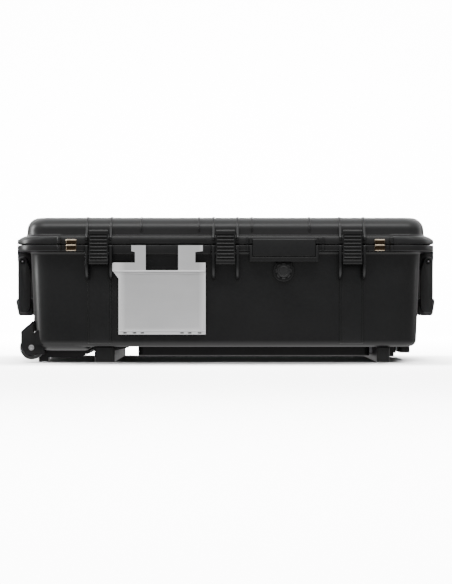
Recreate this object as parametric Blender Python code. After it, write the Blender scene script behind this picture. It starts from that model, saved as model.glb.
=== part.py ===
"""Drone carrying case: a wheeled hard case with three over-centre latches, two
drop handles, a two-stage trolley, a purge valve and a foam lined inside.

Lengths below are in millimetres and become metres when a mesh is finished.
+X is the trolley end, -Y the latched front, +Z up. The floor is z = 0.
"""

import math

import bmesh
import bpy
from mathutils import Matrix, Vector

# ---------------------------------------------------------------- dimensions
MM = 0.001
GAP = 0.3  # running gap between neighbours

FLANGE_X, FLANGE_Y = 412.0, 265.0  # half sizes of the rim flange at its corners
FLANGE_STEP = 6.0  # how far the long sides of the flange stand back
STEP_X = 326.0  # where the corner zones of the flange begin
BASE_TOP = 232.0  # top of the base flange
LID_LOW = 232.6  # underside of the lid flange
LID_TOP = 285.0
RIB_TOP = 287.4
BASE_LOW = 31.0  # flat underside of the base
WHEEL_END_LOW = 23.0

LATCH_X = (-248.0, 0.0, 248.0)
LATCH_NAMES = ("left", "centre", "right")
LATCH_RIB_IN, LATCH_RIB_OUT = 21.0, 26.0
P1 = (-263.5, 213.0)  # link pivot on the base, as y and z
P2 = (-264.0, 198.5)  # lever pivot on the link
LEVER_FRONT = -275.0
LEVER_LOW, LEVER_HIGH = 193.0, 260.0
LEVER_HALF = 19.0

HINGE_Y, HINGE_Z, HINGE_R = 268.0, 233.0, 7.0
TONGUE_X0, TONGUE_X1 = 53.0, 176.0

HANDLE_X, HANDLE_Z = 411.5, 201.0
ARM_Y0, ARM_Y1 = 97.0, 114.0
# section of the rubber grip, from the handle's plane: full at the top, tapered to the bottom
GRIP_SECTION = (
    (15.0, 118.0), (14.6, 122.5), (12.0, 125.6), (8.0, 126.4), (-8.0, 126.4), (-11.5, 125.0), (-13.0, 121.0),
    (-13.0, 98.0), (-11.6, 93.4), (-8.0, 91.0), (6.5, 91.0), (9.2, 92.4), (10.8, 96.0), (13.0, 106.0),
)

WHEEL_X, WHEEL_Z, WHEEL_R = -383.5, 29.2, 24.0
WHEEL_Y0, WHEEL_Y1 = 188.0, 212.0

TUBE_Y, TUBE_Z = 75.0, 22.3
TROLLEY_X0, TROLLEY_X1 = -178.0, 293.0

VALVE_X, VALVE_Z = 114.0, 180.6
EYE_X = 301.0

# ---------------------------------------------------------------- scene setup
for old in list(bpy.data.objects):
    bpy.data.objects.remove(old, do_unlink=True)

case = bpy.data.collections.new("drone_carrying_case")
bpy.context.scene.collection.children.link(case)
cutters = bpy.data.collections.new("cutters")
bpy.context.scene.collection.children.link(cutters)


def material(name, colour, roughness, metallic=0.0):
    m = bpy.data.materials.new(name)
    m.use_nodes = True
    shader = m.node_tree.nodes["Principled BSDF"]
    shader.inputs["Base Color"].default_value = (*colour, 1.0)
    shader.inputs["Roughness"].default_value = roughness
    shader.inputs["Metallic"].default_value = metallic
    m.diffuse_color = (*colour, 1.0)
    return m


BLACK = (0.018, 0.018, 0.019)
LOOKS = {
    "shell": (BLACK, 0.48, 0.0),
    "trim": ((0.022, 0.022, 0.023), 0.42, 0.0),
    "rubber": ((0.012, 0.012, 0.012), 0.8, 0.0),
    "foam": ((0.03, 0.03, 0.032), 0.95, 0.0),
    "grey": ((0.45, 0.45, 0.46), 0.4, 0.0),
    "steel": ((0.62, 0.62, 0.63), 0.28, 1.0),
    "brass": ((0.68, 0.45, 0.18), 0.35, 1.0),
    "alloy": ((0.55, 0.56, 0.58), 0.35, 1.0),
}


# ---------------------------------------------------------------- mesh helpers
def add_box(bm, x0, x1, y0, y1, z0, z1):
    size = Matrix.Diagonal((x1 - x0, y1 - y0, z1 - z0, 1.0))
    place = Matrix.Translation(((x0 + x1) / 2, (y0 + y1) / 2, (z0 + z1) / 2))
    bmesh.ops.create_cube(bm, size=1.0, matrix=place @ size)
    return bm


def box(*limits):
    return add_box(bmesh.new(), *limits)


def add_rod(bm, centre, axis, low, high, radius, segments=16, radius_high=None):
    """A cylinder or cone along an axis; centre gives the other two coordinates."""
    middle = (low + high) / 2
    if axis == "x":
        place = (middle, centre[0], centre[1])
        turn = Matrix.Rotation(math.radians(90), 4, "Y")
    elif axis == "y":
        place = (centre[0], middle, centre[1])
        turn = Matrix.Rotation(math.radians(-90), 4, "X")
    else:
        place = (centre[0], centre[1], middle)
        turn = Matrix.Identity(4)
    bmesh.ops.create_cone(
        bm,
        cap_ends=True,
        segments=segments,
        radius1=radius,
        radius2=radius if radius_high is None else radius_high,
        depth=high - low,
        matrix=Matrix.Translation(place) @ turn,
    )
    return bm


def rod(*args, **kwargs):
    return add_rod(bmesh.new(), *args, **kwargs)


def add_prism(bm, axis, outline, low, high):
    """A flat outline extruded along an axis, from low to high."""

    def at(p, q, along):
        if axis == "x":
            return (along, p, q)
        if axis == "y":
            return (p, along, q)
        return (p, q, along)

    face = bm.faces.new([bm.verts.new(at(p, q, low)) for p, q in outline])
    grown = bmesh.ops.extrude_face_region(bm, geom=[face])
    moved = [v for v in grown["geom"] if isinstance(v, bmesh.types.BMVert)]
    bmesh.ops.translate(bm, verts=moved, vec=Vector(at(0, 0, high - low)))
    return bm


def prism(*args):
    return add_prism(bmesh.new(), *args)


def loft(rings):
    """Sections of equal point count joined in turn, closed at both ends."""
    bm = bmesh.new()
    rows = [[bm.verts.new(p) for p in ring] for ring in rings]
    for a, b in zip(rows, rows[1:]):
        for i in range(len(a)):
            j = (i + 1) % len(a)
            bm.faces.new((a[i], a[j], b[j], b[i]))
    bm.faces.new(rows[0])
    bm.faces.new(list(reversed(rows[-1])))
    return bm


def rim_ring(z, hx, hy, r, inset=0.0, segments=5):
    """A rounded rectangle whose long sides stand back by inset between the corner zones."""
    ring = []
    for k, (sx, sy) in enumerate(((1, 1), (-1, 1), (-1, -1), (1, -1))):
        for i in range(segments + 1):
            a = math.radians(90 * k + 90 * i / segments)
            ring.append((sx * (hx - r) + r * math.cos(a), sy * (hy - r) + r * math.sin(a), z))
        if k in (0, 2):
            side = 1 if k == 0 else -1
            for x, y in (
                (STEP_X, hy),
                (STEP_X - 4, hy - inset),
                (4 - STEP_X, hy - inset),
                (-STEP_X, hy),
            ):
                ring.append((side * x, side * y, z))
    return ring


def pad_ring(z, x0, x1, y0, y1, r, segments=4):
    """A plain rounded rectangle between limits."""
    ring = []
    for k, (cx, cy) in enumerate(((x1 - r, y1 - r), (x0 + r, y1 - r), (x0 + r, y0 + r), (x1 - r, y0 + r))):
        for i in range(segments + 1):
            a = math.radians(90 * k + 90 * i / segments)
            ring.append((cx + r * math.cos(a), cy + r * math.sin(a), z))
    return ring


def soft_block(x0, x1, y0, y1, z0, z1, r, edge, segments=4):
    """A block with rounded upright corners and eased top and bottom edges."""
    e = edge
    return loft(
        [
            pad_ring(z0, x0 + e, x1 - e, y0 + e, y1 - e, r - e * 0.9, segments),
            pad_ring(z0 + e * 0.3, x0 + e * 0.3, x1 - e * 0.3, y0 + e * 0.3, y1 - e * 0.3, r - e * 0.3, segments),
            pad_ring(z0 + e, x0, x1, y0, y1, r, segments),
            pad_ring(z1 - e, x0, x1, y0, y1, r, segments),
            pad_ring(z1 - e * 0.3, x0 + e * 0.3, x1 - e * 0.3, y0 + e * 0.3, y1 - e * 0.3, r - e * 0.3, segments),
            pad_ring(z1, x0 + e, x1 - e, y0 + e, y1 - e, r - e * 0.9, segments),
        ]
    )


def turned(bm_target, profile, x, z, segments=24):
    """A closed ring profile of (radius, y) pairs swept about a Y axis through x, z."""
    rows = []
    for i in range(segments):
        a = 2 * math.pi * i / segments
        rows.append([bm_target.verts.new((x + r * math.cos(a), y, z + r * math.sin(a))) for r, y in profile])
    for i in range(segments):
        a, b = rows[i], rows[(i + 1) % segments]
        for k in range(len(profile)):
            n = (k + 1) % len(profile)
            bm_target.faces.new((a[k], a[n], b[n], b[k]))
    return bm_target


def to_object(name, bm, collection):
    bmesh.ops.recalc_face_normals(bm, faces=bm.faces)
    bmesh.ops.scale(bm, vec=(MM, MM, MM), verts=bm.verts)
    mesh = bpy.data.meshes.new(name)
    bm.to_mesh(mesh)
    bm.free()
    obj = bpy.data.objects.new(name, mesh)
    collection.objects.link(obj)
    return obj


def part(name, look, bm, join=(), cut=(), join_after=(), cut_after=(), pivot=None, parent=None):
    """Finishes one sub-part: joins and cuts it, then gives it its look and its pivot."""
    obj = to_object(name, bm, case)
    tools = []
    for kind, group in (("UNION", join), ("DIFFERENCE", cut), ("UNION", join_after), ("DIFFERENCE", cut_after)):
        for number, tool_bm in enumerate(group):
            tool = to_object(f"{name}_{kind.lower()}_{number}", tool_bm, cutters)
            tool.hide_render = True
            tool.display_type = "WIRE"
            modifier = obj.modifiers.new(kind.title(), "BOOLEAN")
            modifier.operation = kind
            modifier.solver = "EXACT"
            modifier.object = tool
            tools.append(tool)
    if tools:
        graph = bpy.context.evaluated_depsgraph_get()
        mesh = bpy.data.meshes.new_from_object(obj.evaluated_get(graph))
        obj.modifiers.clear()
        old, obj.data = obj.data, mesh
        bpy.data.meshes.remove(old)
        mesh.name = name
        for tool in tools:
            bpy.data.objects.remove(tool, do_unlink=True)
        clean = bmesh.new()
        clean.from_mesh(mesh)
        bmesh.ops.remove_doubles(clean, verts=clean.verts, dist=0.000002)
        bmesh.ops.dissolve_degenerate(clean, dist=0.000002, edges=clean.edges)
        bmesh.ops.triangulate(clean, faces=clean.faces)
        clean.to_mesh(mesh)
        clean.free()
    obj.data.materials.clear()
    obj.data.materials.append(material(name, *LOOKS[look]))
    if pivot is not None:
        move = Vector(pivot) * MM
        obj.data.transform(Matrix.Translation(-move))
        obj.location = move
    obj.data.shade_smooth()
    obj.data.set_sharp_from_angle(angle=math.radians(35))
    if parent is not None:
        obj.parent = parent
        bpy.context.view_layer.update()
        obj.matrix_parent_inverse = parent.matrix_world.inverted()
    return obj


def merged(*pieces):
    """Several separate solids held in one mesh."""
    whole = bmesh.new()
    for piece in pieces:
        mesh = bpy.data.meshes.new("piece")
        bmesh.ops.recalc_face_normals(piece, faces=piece.faces)
        piece.to_mesh(mesh)
        piece.free()
        whole.from_mesh(mesh)
        bpy.data.meshes.remove(mesh)
    return whole


def empty(name, place):
    """A pivot at a joint axis that the pieces of a moving body hang from."""
    e = bpy.data.objects.new(name, None)
    e.location = Vector(place) * MM
    e.empty_display_size = 0.02
    case.objects.link(e)
    bpy.context.view_layer.update()
    return e


def lerp(a, b, t):
    return a + (b - a) * t


# ---------------------------------------------------------------- base shell
def base_wall_y(z):
    """Half depth of the drafted outer wall at a height."""
    return lerp(234.5, 241.0, (z - 52.0) / (217.0 - 52.0))


cavity = loft(
    [
        rim_ring(36.0, 364.0, 219.0, 22.0),
        rim_ring(38.5, 371.0, 226.0, 28.0),
        rim_ring(48.0, 374.0, 229.5, 31.0),
        rim_ring(BASE_TOP + 4.0, 380.6, 236.1, 34.0),
    ]
)
base = loft(
    [
        rim_ring(BASE_TOP, FLANGE_X - 1, FLANGE_Y - 1, 44.0, FLANGE_STEP),
        rim_ring(BASE_TOP - 1, FLANGE_X, FLANGE_Y, 45.0, FLANGE_STEP),
        rim_ring(220.2, FLANGE_X, FLANGE_Y, 45.0, FLANGE_STEP),
        rim_ring(219.0, FLANGE_X - 1.2, FLANGE_Y - 1.2, 44.0, FLANGE_STEP),
        rim_ring(217.0, 385.5, 241.0, 38.0),
        rim_ring(52.0, 379.0, 234.5, 36.0),
        rim_ring(42.0, 377.4, 232.9, 35.0),
        rim_ring(34.0, 372.5, 228.0, 31.0),
        rim_ring(BASE_LOW, 364.5, 220.0, 24.0),
    ]
)

# The end over the wheels is deeper, with a large radius at its outer corners.
wheel_end = loft(
    [
        pad_ring(46.0, -376.0, -264.0, -231.5, 231.5, 34.0),
        pad_ring(34.0, -373.0, -268.0, -229.5, 229.5, 32.0),
        pad_ring(26.5, -366.5, -273.0, -224.0, 224.0, 28.0),
        pad_ring(WHEEL_END_LOW, -357.0, -279.0, -214.0, 214.0, 20.0),
    ]
)
pods = merged(*[box(-376.0, -352.5, s * 200 - 25, s * 200 + 25, 34.0, 64.0) for s in (-1, 1)])

# Rib pairs that hold the latches at the front.
ribs = bmesh.new()
for x in LATCH_X:
    for side in (-1, 1):
        low, high = sorted((x + side * LATCH_RIB_IN, x + side * LATCH_RIB_OUT))
        add_prism(
            ribs,
            "x",
            [(-236.5, 230.6), (-268.0, 230.6), (-268.6, 228.0), (-268.6, 190.0), (-244.0, 162.0), (-236.5, 162.0)],
            low,
            high,
        )

# A frame around the lid's tongue, and two guide ribs down to the valve.
frame_out = [(47.0, 198.8), (182.0, 198.8), (182.0, 230.4), (176.7, 230.4), (176.7, 207.6), (52.3, 207.6), (52.3, 230.4), (47.0, 230.4)]
lip_frame = prism("y", frame_out, -265.0, -237.0)
guides = merged(box(96.6, 99.8, -245.8, -237.5, 187.0, 203.0), box(128.2, 131.4, -245.8, -237.5, 187.0, 203.0))
valve_boss = rod((VALVE_X, VALVE_Z), "y", -246.0, -236.8, 21.0, 28)

# Lugs for the drop handles at both ends.
lugs = bmesh.new()
for end in (-1, 1):
    for side in (-1, 1):
        y0, y1 = sorted((side * 78.0, side * 96.4))
        outline = [(end * 381.8, 217.6)]
        outline += [(end * (HANDLE_X + 9.5), 217.6), (end * (HANDLE_X + 9.5), 196.0)]
        outline += [(end * (HANDLE_X + 4), 190.5), (end * (HANDLE_X - 5), 189.5), (end * 381.8, 176.0)]
        add_prism(lugs, "y", outline, y0, y1)

# Rear knuckles and their webs.
knuckles = bmesh.new()
webs = bmesh.new()
for x in LATCH_X:
    for side in (-1, 1):
        x0, x1 = sorted((x + side * 11.9, x + side * 26.0))
        add_rod(knuckles, (HINGE_Y, HINGE_Z), "x", x0, x1, HINGE_R, 20)
        add_prism(webs, "x", [(252.0, 220.5), (252.0, 230.5), (263.0, 231.2), (273.0, 231.2), (272.0, 226.0), (262.0, 219.5)], x0 + 0.4, x1 - 0.4)

cut_pins = bmesh.new()
for x in LATCH_X:
    add_rod(cut_pins, P1, "x", x - 30, x + 30, 2.3, 12)
    add_rod(cut_pins, (HINGE_Y, HINGE_Z), "x", x - 30, x + 30, 2.8, 16)
for end in (-1, 1):
    add_rod(cut_pins, (end * HANDLE_X, HANDLE_Z), "y", -99.0, 99.0, 3.8, 16)
add_rod(cut_pins, (VALVE_X, VALVE_Z), "y", -250, -225, 9.0, 20)
notches = merged(*[box(-430.0, -357.0, s * 200 - 21, s * 200 + 21, -5.0, 60.0) for s in (-1, 1)])

part(
    "base_shell",
    "shell",
    base,
    join=[wheel_end, ribs, lip_frame, valve_boss, guides, lugs, webs, knuckles],
    cut=[cavity],
    join_after=[pods],
    cut_after=[cut_pins, notches],
)

# ---------------------------------------------------------------- lid
lid_pivot = empty("lid_pivot", (0, HINGE_Y, HINGE_Z))
lid = loft(
    [
        rim_ring(280.3, 360.0, 215.0, 20.0),
        rim_ring(277.5, 371.0, 226.0, 28.0),
        rim_ring(271.0, 380.0, 234.8, 32.0),
        rim_ring(262.0, 385.6, 240.5, 34.0),
        rim_ring(LID_LOW, 387.0, 242.0, 35.0),
        rim_ring(LID_LOW, 390.5, 245.5, 37.0),
        rim_ring(237.6, 390.5, 245.5, 37.0),
        rim_ring(237.6, 396.5, 251.5, 40.0),
        rim_ring(LID_LOW, 396.5, 251.5, 40.0),
        rim_ring(LID_LOW, FLANGE_X - 1, FLANGE_Y - 1, 44.0, FLANGE_STEP),
        rim_ring(LID_LOW + 1, FLANGE_X, FLANGE_Y, 45.0, FLANGE_STEP),
        rim_ring(241.0, FLANGE_X, FLANGE_Y, 45.0, FLANGE_STEP),
        rim_ring(246.6, 400.5, 264.2, 45.0, FLANGE_STEP),
        rim_ring(249.3, 394.5, 254.5, 43.0, 3.5),
        rim_ring(252.5, 391.8, 247.0, 41.0, 0.5),
        rim_ring(262.0, 391.0, 246.0, 40.0),
        rim_ring(270.0, 388.4, 243.4, 38.0),
        rim_ring(277.0, 382.6, 237.6, 36.0),
        rim_ring(282.6, 374.0, 229.0, 30.0),
        rim_ring(LID_TOP, 363.0, 218.0, 22.0),
    ]
)


def lid_rib(bm, x, half, latch):
    """One rib over the top of the lid, from the front flange to the back."""
    over = [(-249.2, 271.5), (-240.5, 281.6), (-228.0, RIB_TOP), (228.0, RIB_TOP), (240.5, 281.6), (249.2, 271.5)]
    under = [(243.6, 262.0), (240.4, 270.0), (235.0, 276.4), (227.0, 280.8), (217.5, 282.6)]
    under = under + [(-y, z) for y, z in reversed(under)]
    if latch:
        front = [(-255.5, 240.5), (-266.0, 240.5), (-266.0, 246.5)]
        back = [(257.4, 252.0), (257.4, 240.5), (254.0, 240.5), (247.0, 250.5)]
        close = [(-247.0, 250.5)]
    else:
        front = [(-246.8, 256.5)]
        back = [(246.8, 256.5)]
        close = []
    add_prism(bm, "x", front + over + back + under + close, x - half, x + half)


top_ribs = bmesh.new()
for x in LATCH_X:
    for side in (-1, 1):
        lid_rib(top_ribs, x + side * 23.5, 2.4, True)
for x in (-165.0, -52.0, 52.0, 165.0):
    lid_rib(top_ribs, x, 1.9, False)

tongue = prism(
    "x",
    [(-264.0, 241.0), (-264.0, 208.8), (-260.6, 208.4), (-260.4, 233.6), (-257.0, 233.6), (-257.0, 241.6), (-262.5, 241.6)],
    TONGUE_X0,
    TONGUE_X1,
)
lid_knuckles = bmesh.new()
lid_webs = bmesh.new()
lid_bores = bmesh.new()
for x in LATCH_X:
    add_rod(lid_knuckles, (HINGE_Y, HINGE_Z), "x", x - 11.4, x + 11.4, HINGE_R, 20)
    add_prism(lid_webs, "x", [(254.5, 235.2), (254.5, 246.2), (262.0, 243.5), (271.0, 238.6), (271.5, 235.0)], x - 11.0, x + 11.0)
    add_rod(lid_bores, (HINGE_Y, HINGE_Z), "x", x - 14, x + 14, 2.8, 16)
part(
    "lid_shell",
    "shell",
    lid,
    join=[top_ribs, tongue, lid_webs, lid_knuckles],
    cut=[lid_bores],
    parent=lid_pivot,
)

seal = loft(
    [
        rim_ring(LID_LOW + 0.3, 391.0, 246.0, 37.3),
        rim_ring(237.2, 391.0, 246.0, 37.3),
        rim_ring(237.2, 396.0, 251.0, 39.8),
        rim_ring(LID_LOW + 0.3, 396.0, 251.0, 39.8),
    ]
)
bmesh.ops.delete(seal, geom=[f for f in seal.faces if len(f.verts) > 4], context="FACES_ONLY")
loose_low = [v for v in seal.verts if v.co.z < LID_LOW + 1]
inner_low = sorted((v for v in loose_low), key=lambda v: v.index)
seal.verts.ensure_lookup_table()
count = len(rim_ring(0, 391.0, 246.0, 37.3))
for i in range(count):
    j = (i + 1) % count
    seal.faces.new((seal.verts[3 * count + i], seal.verts[3 * count + j], seal.verts[j], seal.verts[i]))
part("lid_gasket", "rubber", seal, parent=lid_pivot)

part("lid_foam", "foam", soft_block(-356, 356, -211, 211, 240.0, 279.8, 26.0, 4.0), parent=lid_pivot)

# ---------------------------------------------------------------- hinge pins
part("hinge_pin", "steel", rod((HINGE_Y, HINGE_Z), "x", LATCH_X[0] - 27.5, LATCH_X[2] + 27.5, 2.45, 16))

# ---------------------------------------------------------------- inside foam
part("base_foam_floor", "foam", soft_block(-348.0, 362.0, -217.0, 217.0, 36.6, 66.0, 26.0, 2.5))
FOAM_SEAMS = (-170.0, 175.0)  # the cut foam lies in three blocks


def all_wells():
    """Cutters for the aircraft in the middle, the controller, charger, batteries, propellers and tools."""
    return [
        merged(
            soft_block(-150, 150, -78, 78, 92.0, 215.0, 6.0, 1.0, 2),
            soft_block(-330, -190, 30, 170, 112.0, 215.0, 6.0, 1.0, 2),
            soft_block(-330, -190, -170, -30, 92.0, 215.0, 6.0, 1.0, 2),
            soft_block(200, 258, -170, 170, 102.0, 215.0, 6.0, 1.0, 2),
            soft_block(288, 346, -170, 170, 102.0, 215.0, 6.0, 1.0, 2),
            soft_block(-140, -20, 112, 192, 122.0, 215.0, 6.0, 1.0, 2),
            soft_block(20, 140, 112, 192, 122.0, 215.0, 6.0, 1.0, 2),
            soft_block(-140, 140, -192, -112, 122.0, 215.0, 6.0, 1.0, 2),
        ),
        box(VALVE_X - 20, VALVE_X + 20, -230, -216, VALVE_Z - 20, 215),
    ]


for block_name, x0, x1 in (
    ("left", -372.0, FOAM_SEAMS[0] - 0.2),
    ("middle", FOAM_SEAMS[0] + 0.2, FOAM_SEAMS[1] - 0.2),
    ("right", FOAM_SEAMS[1] + 0.2, 372.0),
):
    sides = []
    if x0 > -372.0:
        sides.append(box(-400.0, x0, -260.0, 260.0, 50.0, 230.0))
    if x1 < 372.0:
        sides.append(box(x1, 400.0, -260.0, 260.0, 50.0, 230.0))
    part(
        f"base_foam_{block_name}",
        "foam",
        soft_block(-372.0, 372.0, -225.0, 225.0, 66.6, 206.0, 28.0, 3.0),
        cut=sides + all_wells(),
    )

# ---------------------------------------------------------------- purge valve
flange_profile = [(3.0, -251.6), (14.4, -251.6), (15.8, -250.4), (15.8, -246.3), (12.8, -246.3), (12.8, -247.8), (9.2, -247.8), (8.6, -246.3), (8.6, -229.0), (3.0, -229.0)]
valve_teeth = bmesh.new()
for i in range(8):
    a = 2 * math.pi * i / 8
    add_rod(valve_teeth, (VALVE_X + 15.6 * math.cos(a), VALVE_Z + 15.6 * math.sin(a)), "y", -251.0, -246.35, 1.9, 8)
part("valve_body", "trim", turned(bmesh.new(), flange_profile, VALVE_X, VALVE_Z, 28), join=[valve_teeth])
part("valve_o_ring", "rubber", turned(bmesh.new(), [(9.6, -247.4), (12.4, -247.4), (12.4, -246.3), (9.6, -246.3)], VALVE_X, VALVE_Z, 24))
part("valve_cap", "trim", merged(rod((VALVE_X, VALVE_Z), "y", -255.2, -251.9, 11.0, 24)))
part(
    "valve_nut",
    "trim",
    rod((VALVE_X, VALVE_Z), "y", -233.6, -229.4, 14.0, 6),
    cut=[rod((VALVE_X, VALVE_Z), "y", -240, -220, 8.95, 20)],
)

# ---------------------------------------------------------------- lock eyes
for shell_name, z0, z1, holder in (("base", 219.4, 231.7, None), ("lid", 233.4, 241.9, lid_pivot)):
    for side_name, x in (("left", -EYE_X), ("right", EYE_X)):
        part(
            f"{shell_name}_lock_eye_{side_name}",
            "brass",
            soft_block(x - 10.3, x + 10.3, -273.4, -259.3, z0, z1, 4.0, 1.0, 2),
            cut=[rod((x, -266.4), "z", 210, 255, 4.0, 16)],
            parent=holder,
        )

# ---------------------------------------------------------------- latches
for x, side_name in zip(LATCH_X, LATCH_NAMES):
    part(f"latch_{side_name}_base_pin", "steel", rod(P1, "x", x - 25.6, x + 25.6, 2.0, 12))


def lever_mesh(x):
    profile = [
        (-259.6, LEVER_HIGH - 0.8),
        (-260.4, LEVER_HIGH),
        (LEVER_FRONT + 1.0, LEVER_HIGH),
        (LEVER_FRONT, LEVER_HIGH - 1.0),
        (LEVER_FRONT, 253.8),
        (-273.4, 252.6),
        (-273.4, 202.2),
        (LEVER_FRONT, 201.0),
        (LEVER_FRONT, LEVER_LOW + 1.2),
        (LEVER_FRONT + 1.0, LEVER_LOW),
        (-270.2, LEVER_LOW),
        (-269.0, LEVER_LOW + 1.2),
        (-269.0, 252.0),
        (-259.6, 253.4),
    ]
    return prism("x", profile, x - LEVER_HALF, x + LEVER_HALF)


for x, side_name in zip(LATCH_X, LATCH_NAMES):
    link_pivot = empty(f"latch_{side_name}_link_pivot", (x, *P1))
    lever_pivot = empty(f"latch_{side_name}_lever_pivot", (x, *P2))
    lever_pivot.parent = link_pivot
    lever_pivot.matrix_parent_inverse = link_pivot.matrix_world.inverted()
    bpy.context.view_layer.update()

    ridges = bmesh.new()
    for i in range(7):
        z = 247.6 - i * 6.45
        add_prism(ridges, "x", [(-272.8, z + 1.5), (-275.0, z + 0.6), (-275.0, z - 0.6), (-272.8, z - 1.5)], x - 16.5, x + 16.5)
    cheek = [(-271.5, 205.5), (-271.5, 193.6), (-262.2, 193.9), (-260.0, 196.4), (-260.0, 200.8), (-262.4, 203.4), (-267.0, 205.5)]
    cheeks = bmesh.new()
    for side in (-1, 1):
        x0, x1 = sorted((x + side * 14.4, x + side * 18.7))
        add_prism(cheeks, "x", cheek, x0, x1)
    part(
        f"latch_{side_name}_lever",
        "trim",
        lever_mesh(x),
        join=[ridges, cheeks],
        cut=[rod(P2, "x", x - 25, x + 25, 2.3, 12)],
        parent=lever_pivot,
    )
    link = prism("x", [(-261.4, 213.0), (-266.4, 213.0), (-266.6, 198.5), (-261.4, 198.5)], x - 13.8, x + 13.8)
    part(
        f"latch_{side_name}_link",
        "trim",
        link,
        join=[merged(rod(P1, "x", x - 13.9, x + 13.9, 3.7, 16), rod(P2, "x", x - 13.9, x + 13.9, 3.7, 16))],
        cut=[merged(rod(P1, "x", x - 20, x + 20, 2.3, 12), rod(P2, "x", x - 20, x + 20, 2.3, 12))],
        parent=link_pivot,
    )
    part(f"latch_{side_name}_pin", "steel", rod(P2, "x", x - 18.5, x + 18.5, 2.0, 12), parent=lever_pivot)

# ---------------------------------------------------------------- drop handles
for end, side_name in ((1, "right"), (-1, "left")):
    pivot = empty(f"handle_{side_name}_pivot", (end * HANDLE_X, 0, HANDLE_Z))
    arm = []
    for i in range(9):
        a = math.radians(180 * i / 8)
        arm.append((end * (HANDLE_X + 9.8 * math.cos(a)), HANDLE_Z + 9.8 * math.sin(a)))
    arm += [(end * (HANDLE_X - 11.5), 112.0), (end * (HANDLE_X - 7.0), 96.0), (end * (HANDLE_X + 7.0), 96.0), (end * (HANDLE_X + 9.6), 112.0)]
    arms = merged(prism("y", arm, ARM_Y0, ARM_Y1), prism("y", arm, -ARM_Y1, -ARM_Y0))
    x0, x1 = sorted((end * (HANDLE_X - 6.5), end * (HANDLE_X + 6.5)))
    core = box(x0, x1, -ARM_Y0 - 5, ARM_Y0 + 5, 101.5, 115.5)
    bores = bmesh.new()
    for side in (-1, 1):
        y0, y1 = sorted((side * 90.0, side * 120.0))
        add_rod(bores, (end * HANDLE_X, HANDLE_Z), "y", y0, y1, 3.8, 16)
    part(f"handle_{side_name}_frame", "trim", arms, join=[core], cut=[bores], parent=pivot)

    grip_points = [(end * (HANDLE_X + dx), z) for dx, z in GRIP_SECTION]
    part(
        f"handle_{side_name}_grip",
        "rubber",
        prism("y", grip_points, -ARM_Y0 + 0.4, ARM_Y0 - 0.4),
        cut=[box(x0 - 0.35, x1 + 0.35, -120, 120, 101.15, 115.85)],
        parent=pivot,
    )
for end, side_name in ((1, "right"), (-1, "left")):
    heads = bmesh.new()
    for side in (-1, 1):
        y0, y1 = sorted((side * (ARM_Y1 + 0.4), side * (ARM_Y1 + 3.2)))
        add_rod(heads, (end * HANDLE_X, HANDLE_Z), "y", y0, y1, 4.6, 16)
    shaft = rod((end * HANDLE_X, HANDLE_Z), "y", -ARM_Y1 - 1.5, ARM_Y1 + 1.5, 3.4, 16)
    part(f"handle_{side_name}_pin", "steel", shaft, join=[heads])

# ---------------------------------------------------------------- document pocket
pocket = box(-209.0, -39.0, -263.0, -243.2, 56.0, 178.4)
slot = box(-206.2, -41.8, -260.4, -245.8, 58.8, 190.0)
shoulder = prism(
    "y",
    [(-221.0, 181.0), (-209.0, 166.0), (-209.0, 160.0), (-39.0, 160.0), (-39.0, 196.5), (-219.0, 196.5), (-221.0, 194.5)],
    -264.4,
    -260.9,
)
left_post = prism("y", [(-184.0, 230.4), (-184.0, 219.0), (-177.0, 217.0), (-177.0, 190.0), (-156.0, 190.0), (-156.0, 230.4)], -264.2, -259.6)
right_post = prism("y", [(-92.5, 230.4), (-92.5, 190.0), (-59.0, 190.0), (-59.0, 217.0), (-44.5, 219.0), (-44.5, 230.4)], -264.2, -259.6)
back_posts = merged(box(-177.0, -158.0, -263.5, -243.4, 172.0, 196.0), box(-90.5, -60.0, -263.5, -243.4, 172.0, 196.0))
hooks = merged(box(-176.0, -158.0, -262.0, -246.0, 207.0, 215.0), box(-90.5, -60.0, -262.0, -246.0, 207.0, 215.0))
window = prism("y", [(-156.0, 240.0), (-156.0, 182.5), (-152.5, 179.4), (-96.0, 179.4), (-92.5, 182.5), (-92.5, 240.0)], -270.0, -258.5)
drains = bmesh.new()
for x in (-196.5, -177.8, -162.5, -85.0, -69.8, -50.5):
    add_box(drains, x - 3.6, x + 3.6, -270.0, -256.0, 57.6, 60.4)
part(
    "document_pocket",
    "grey",
    pocket,
    join=[shoulder, left_post, right_post, back_posts, hooks],
    cut=[slot, window, drains],
)

# ---------------------------------------------------------------- wheels
housing_outline = [(-358.2, 16.0), (-358.2, 59.3), (-380.8, 59.3), (-381.2, 82.0), (-404.5, 61.0), (-404.5, 32.0), (-394.0, 14.5)]
for side, name in ((-1, "front"), (1, "rear")):
    outer_y = sorted((side * 182.6, side * 217.4))
    wheel_y = sorted((side * (WHEEL_Y0 - 1.2), side * (WHEEL_Y1 + 1.2)))
    bolt_y = sorted((side * 183.0, side * 218.6))
    head_y = sorted((side * 217.8, side * 220.6))
    centre = (WHEEL_X, WHEEL_Z)
    part(
        f"wheel_{name}_housing",
        "trim",
        prism("y", housing_outline, *outer_y),
        cut=[rod(centre, "y", *wheel_y, WHEEL_R + 2.4, 32), rod(centre, "y", outer_y[0] - 3, outer_y[1] + 3, 3.3, 16)],
    )
    part(f"wheel_{name}_bolt", "steel", rod(centre, "y", *bolt_y, 2.95, 16), join=[rod(centre, "y", *head_y, 6.4, 20)])
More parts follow.
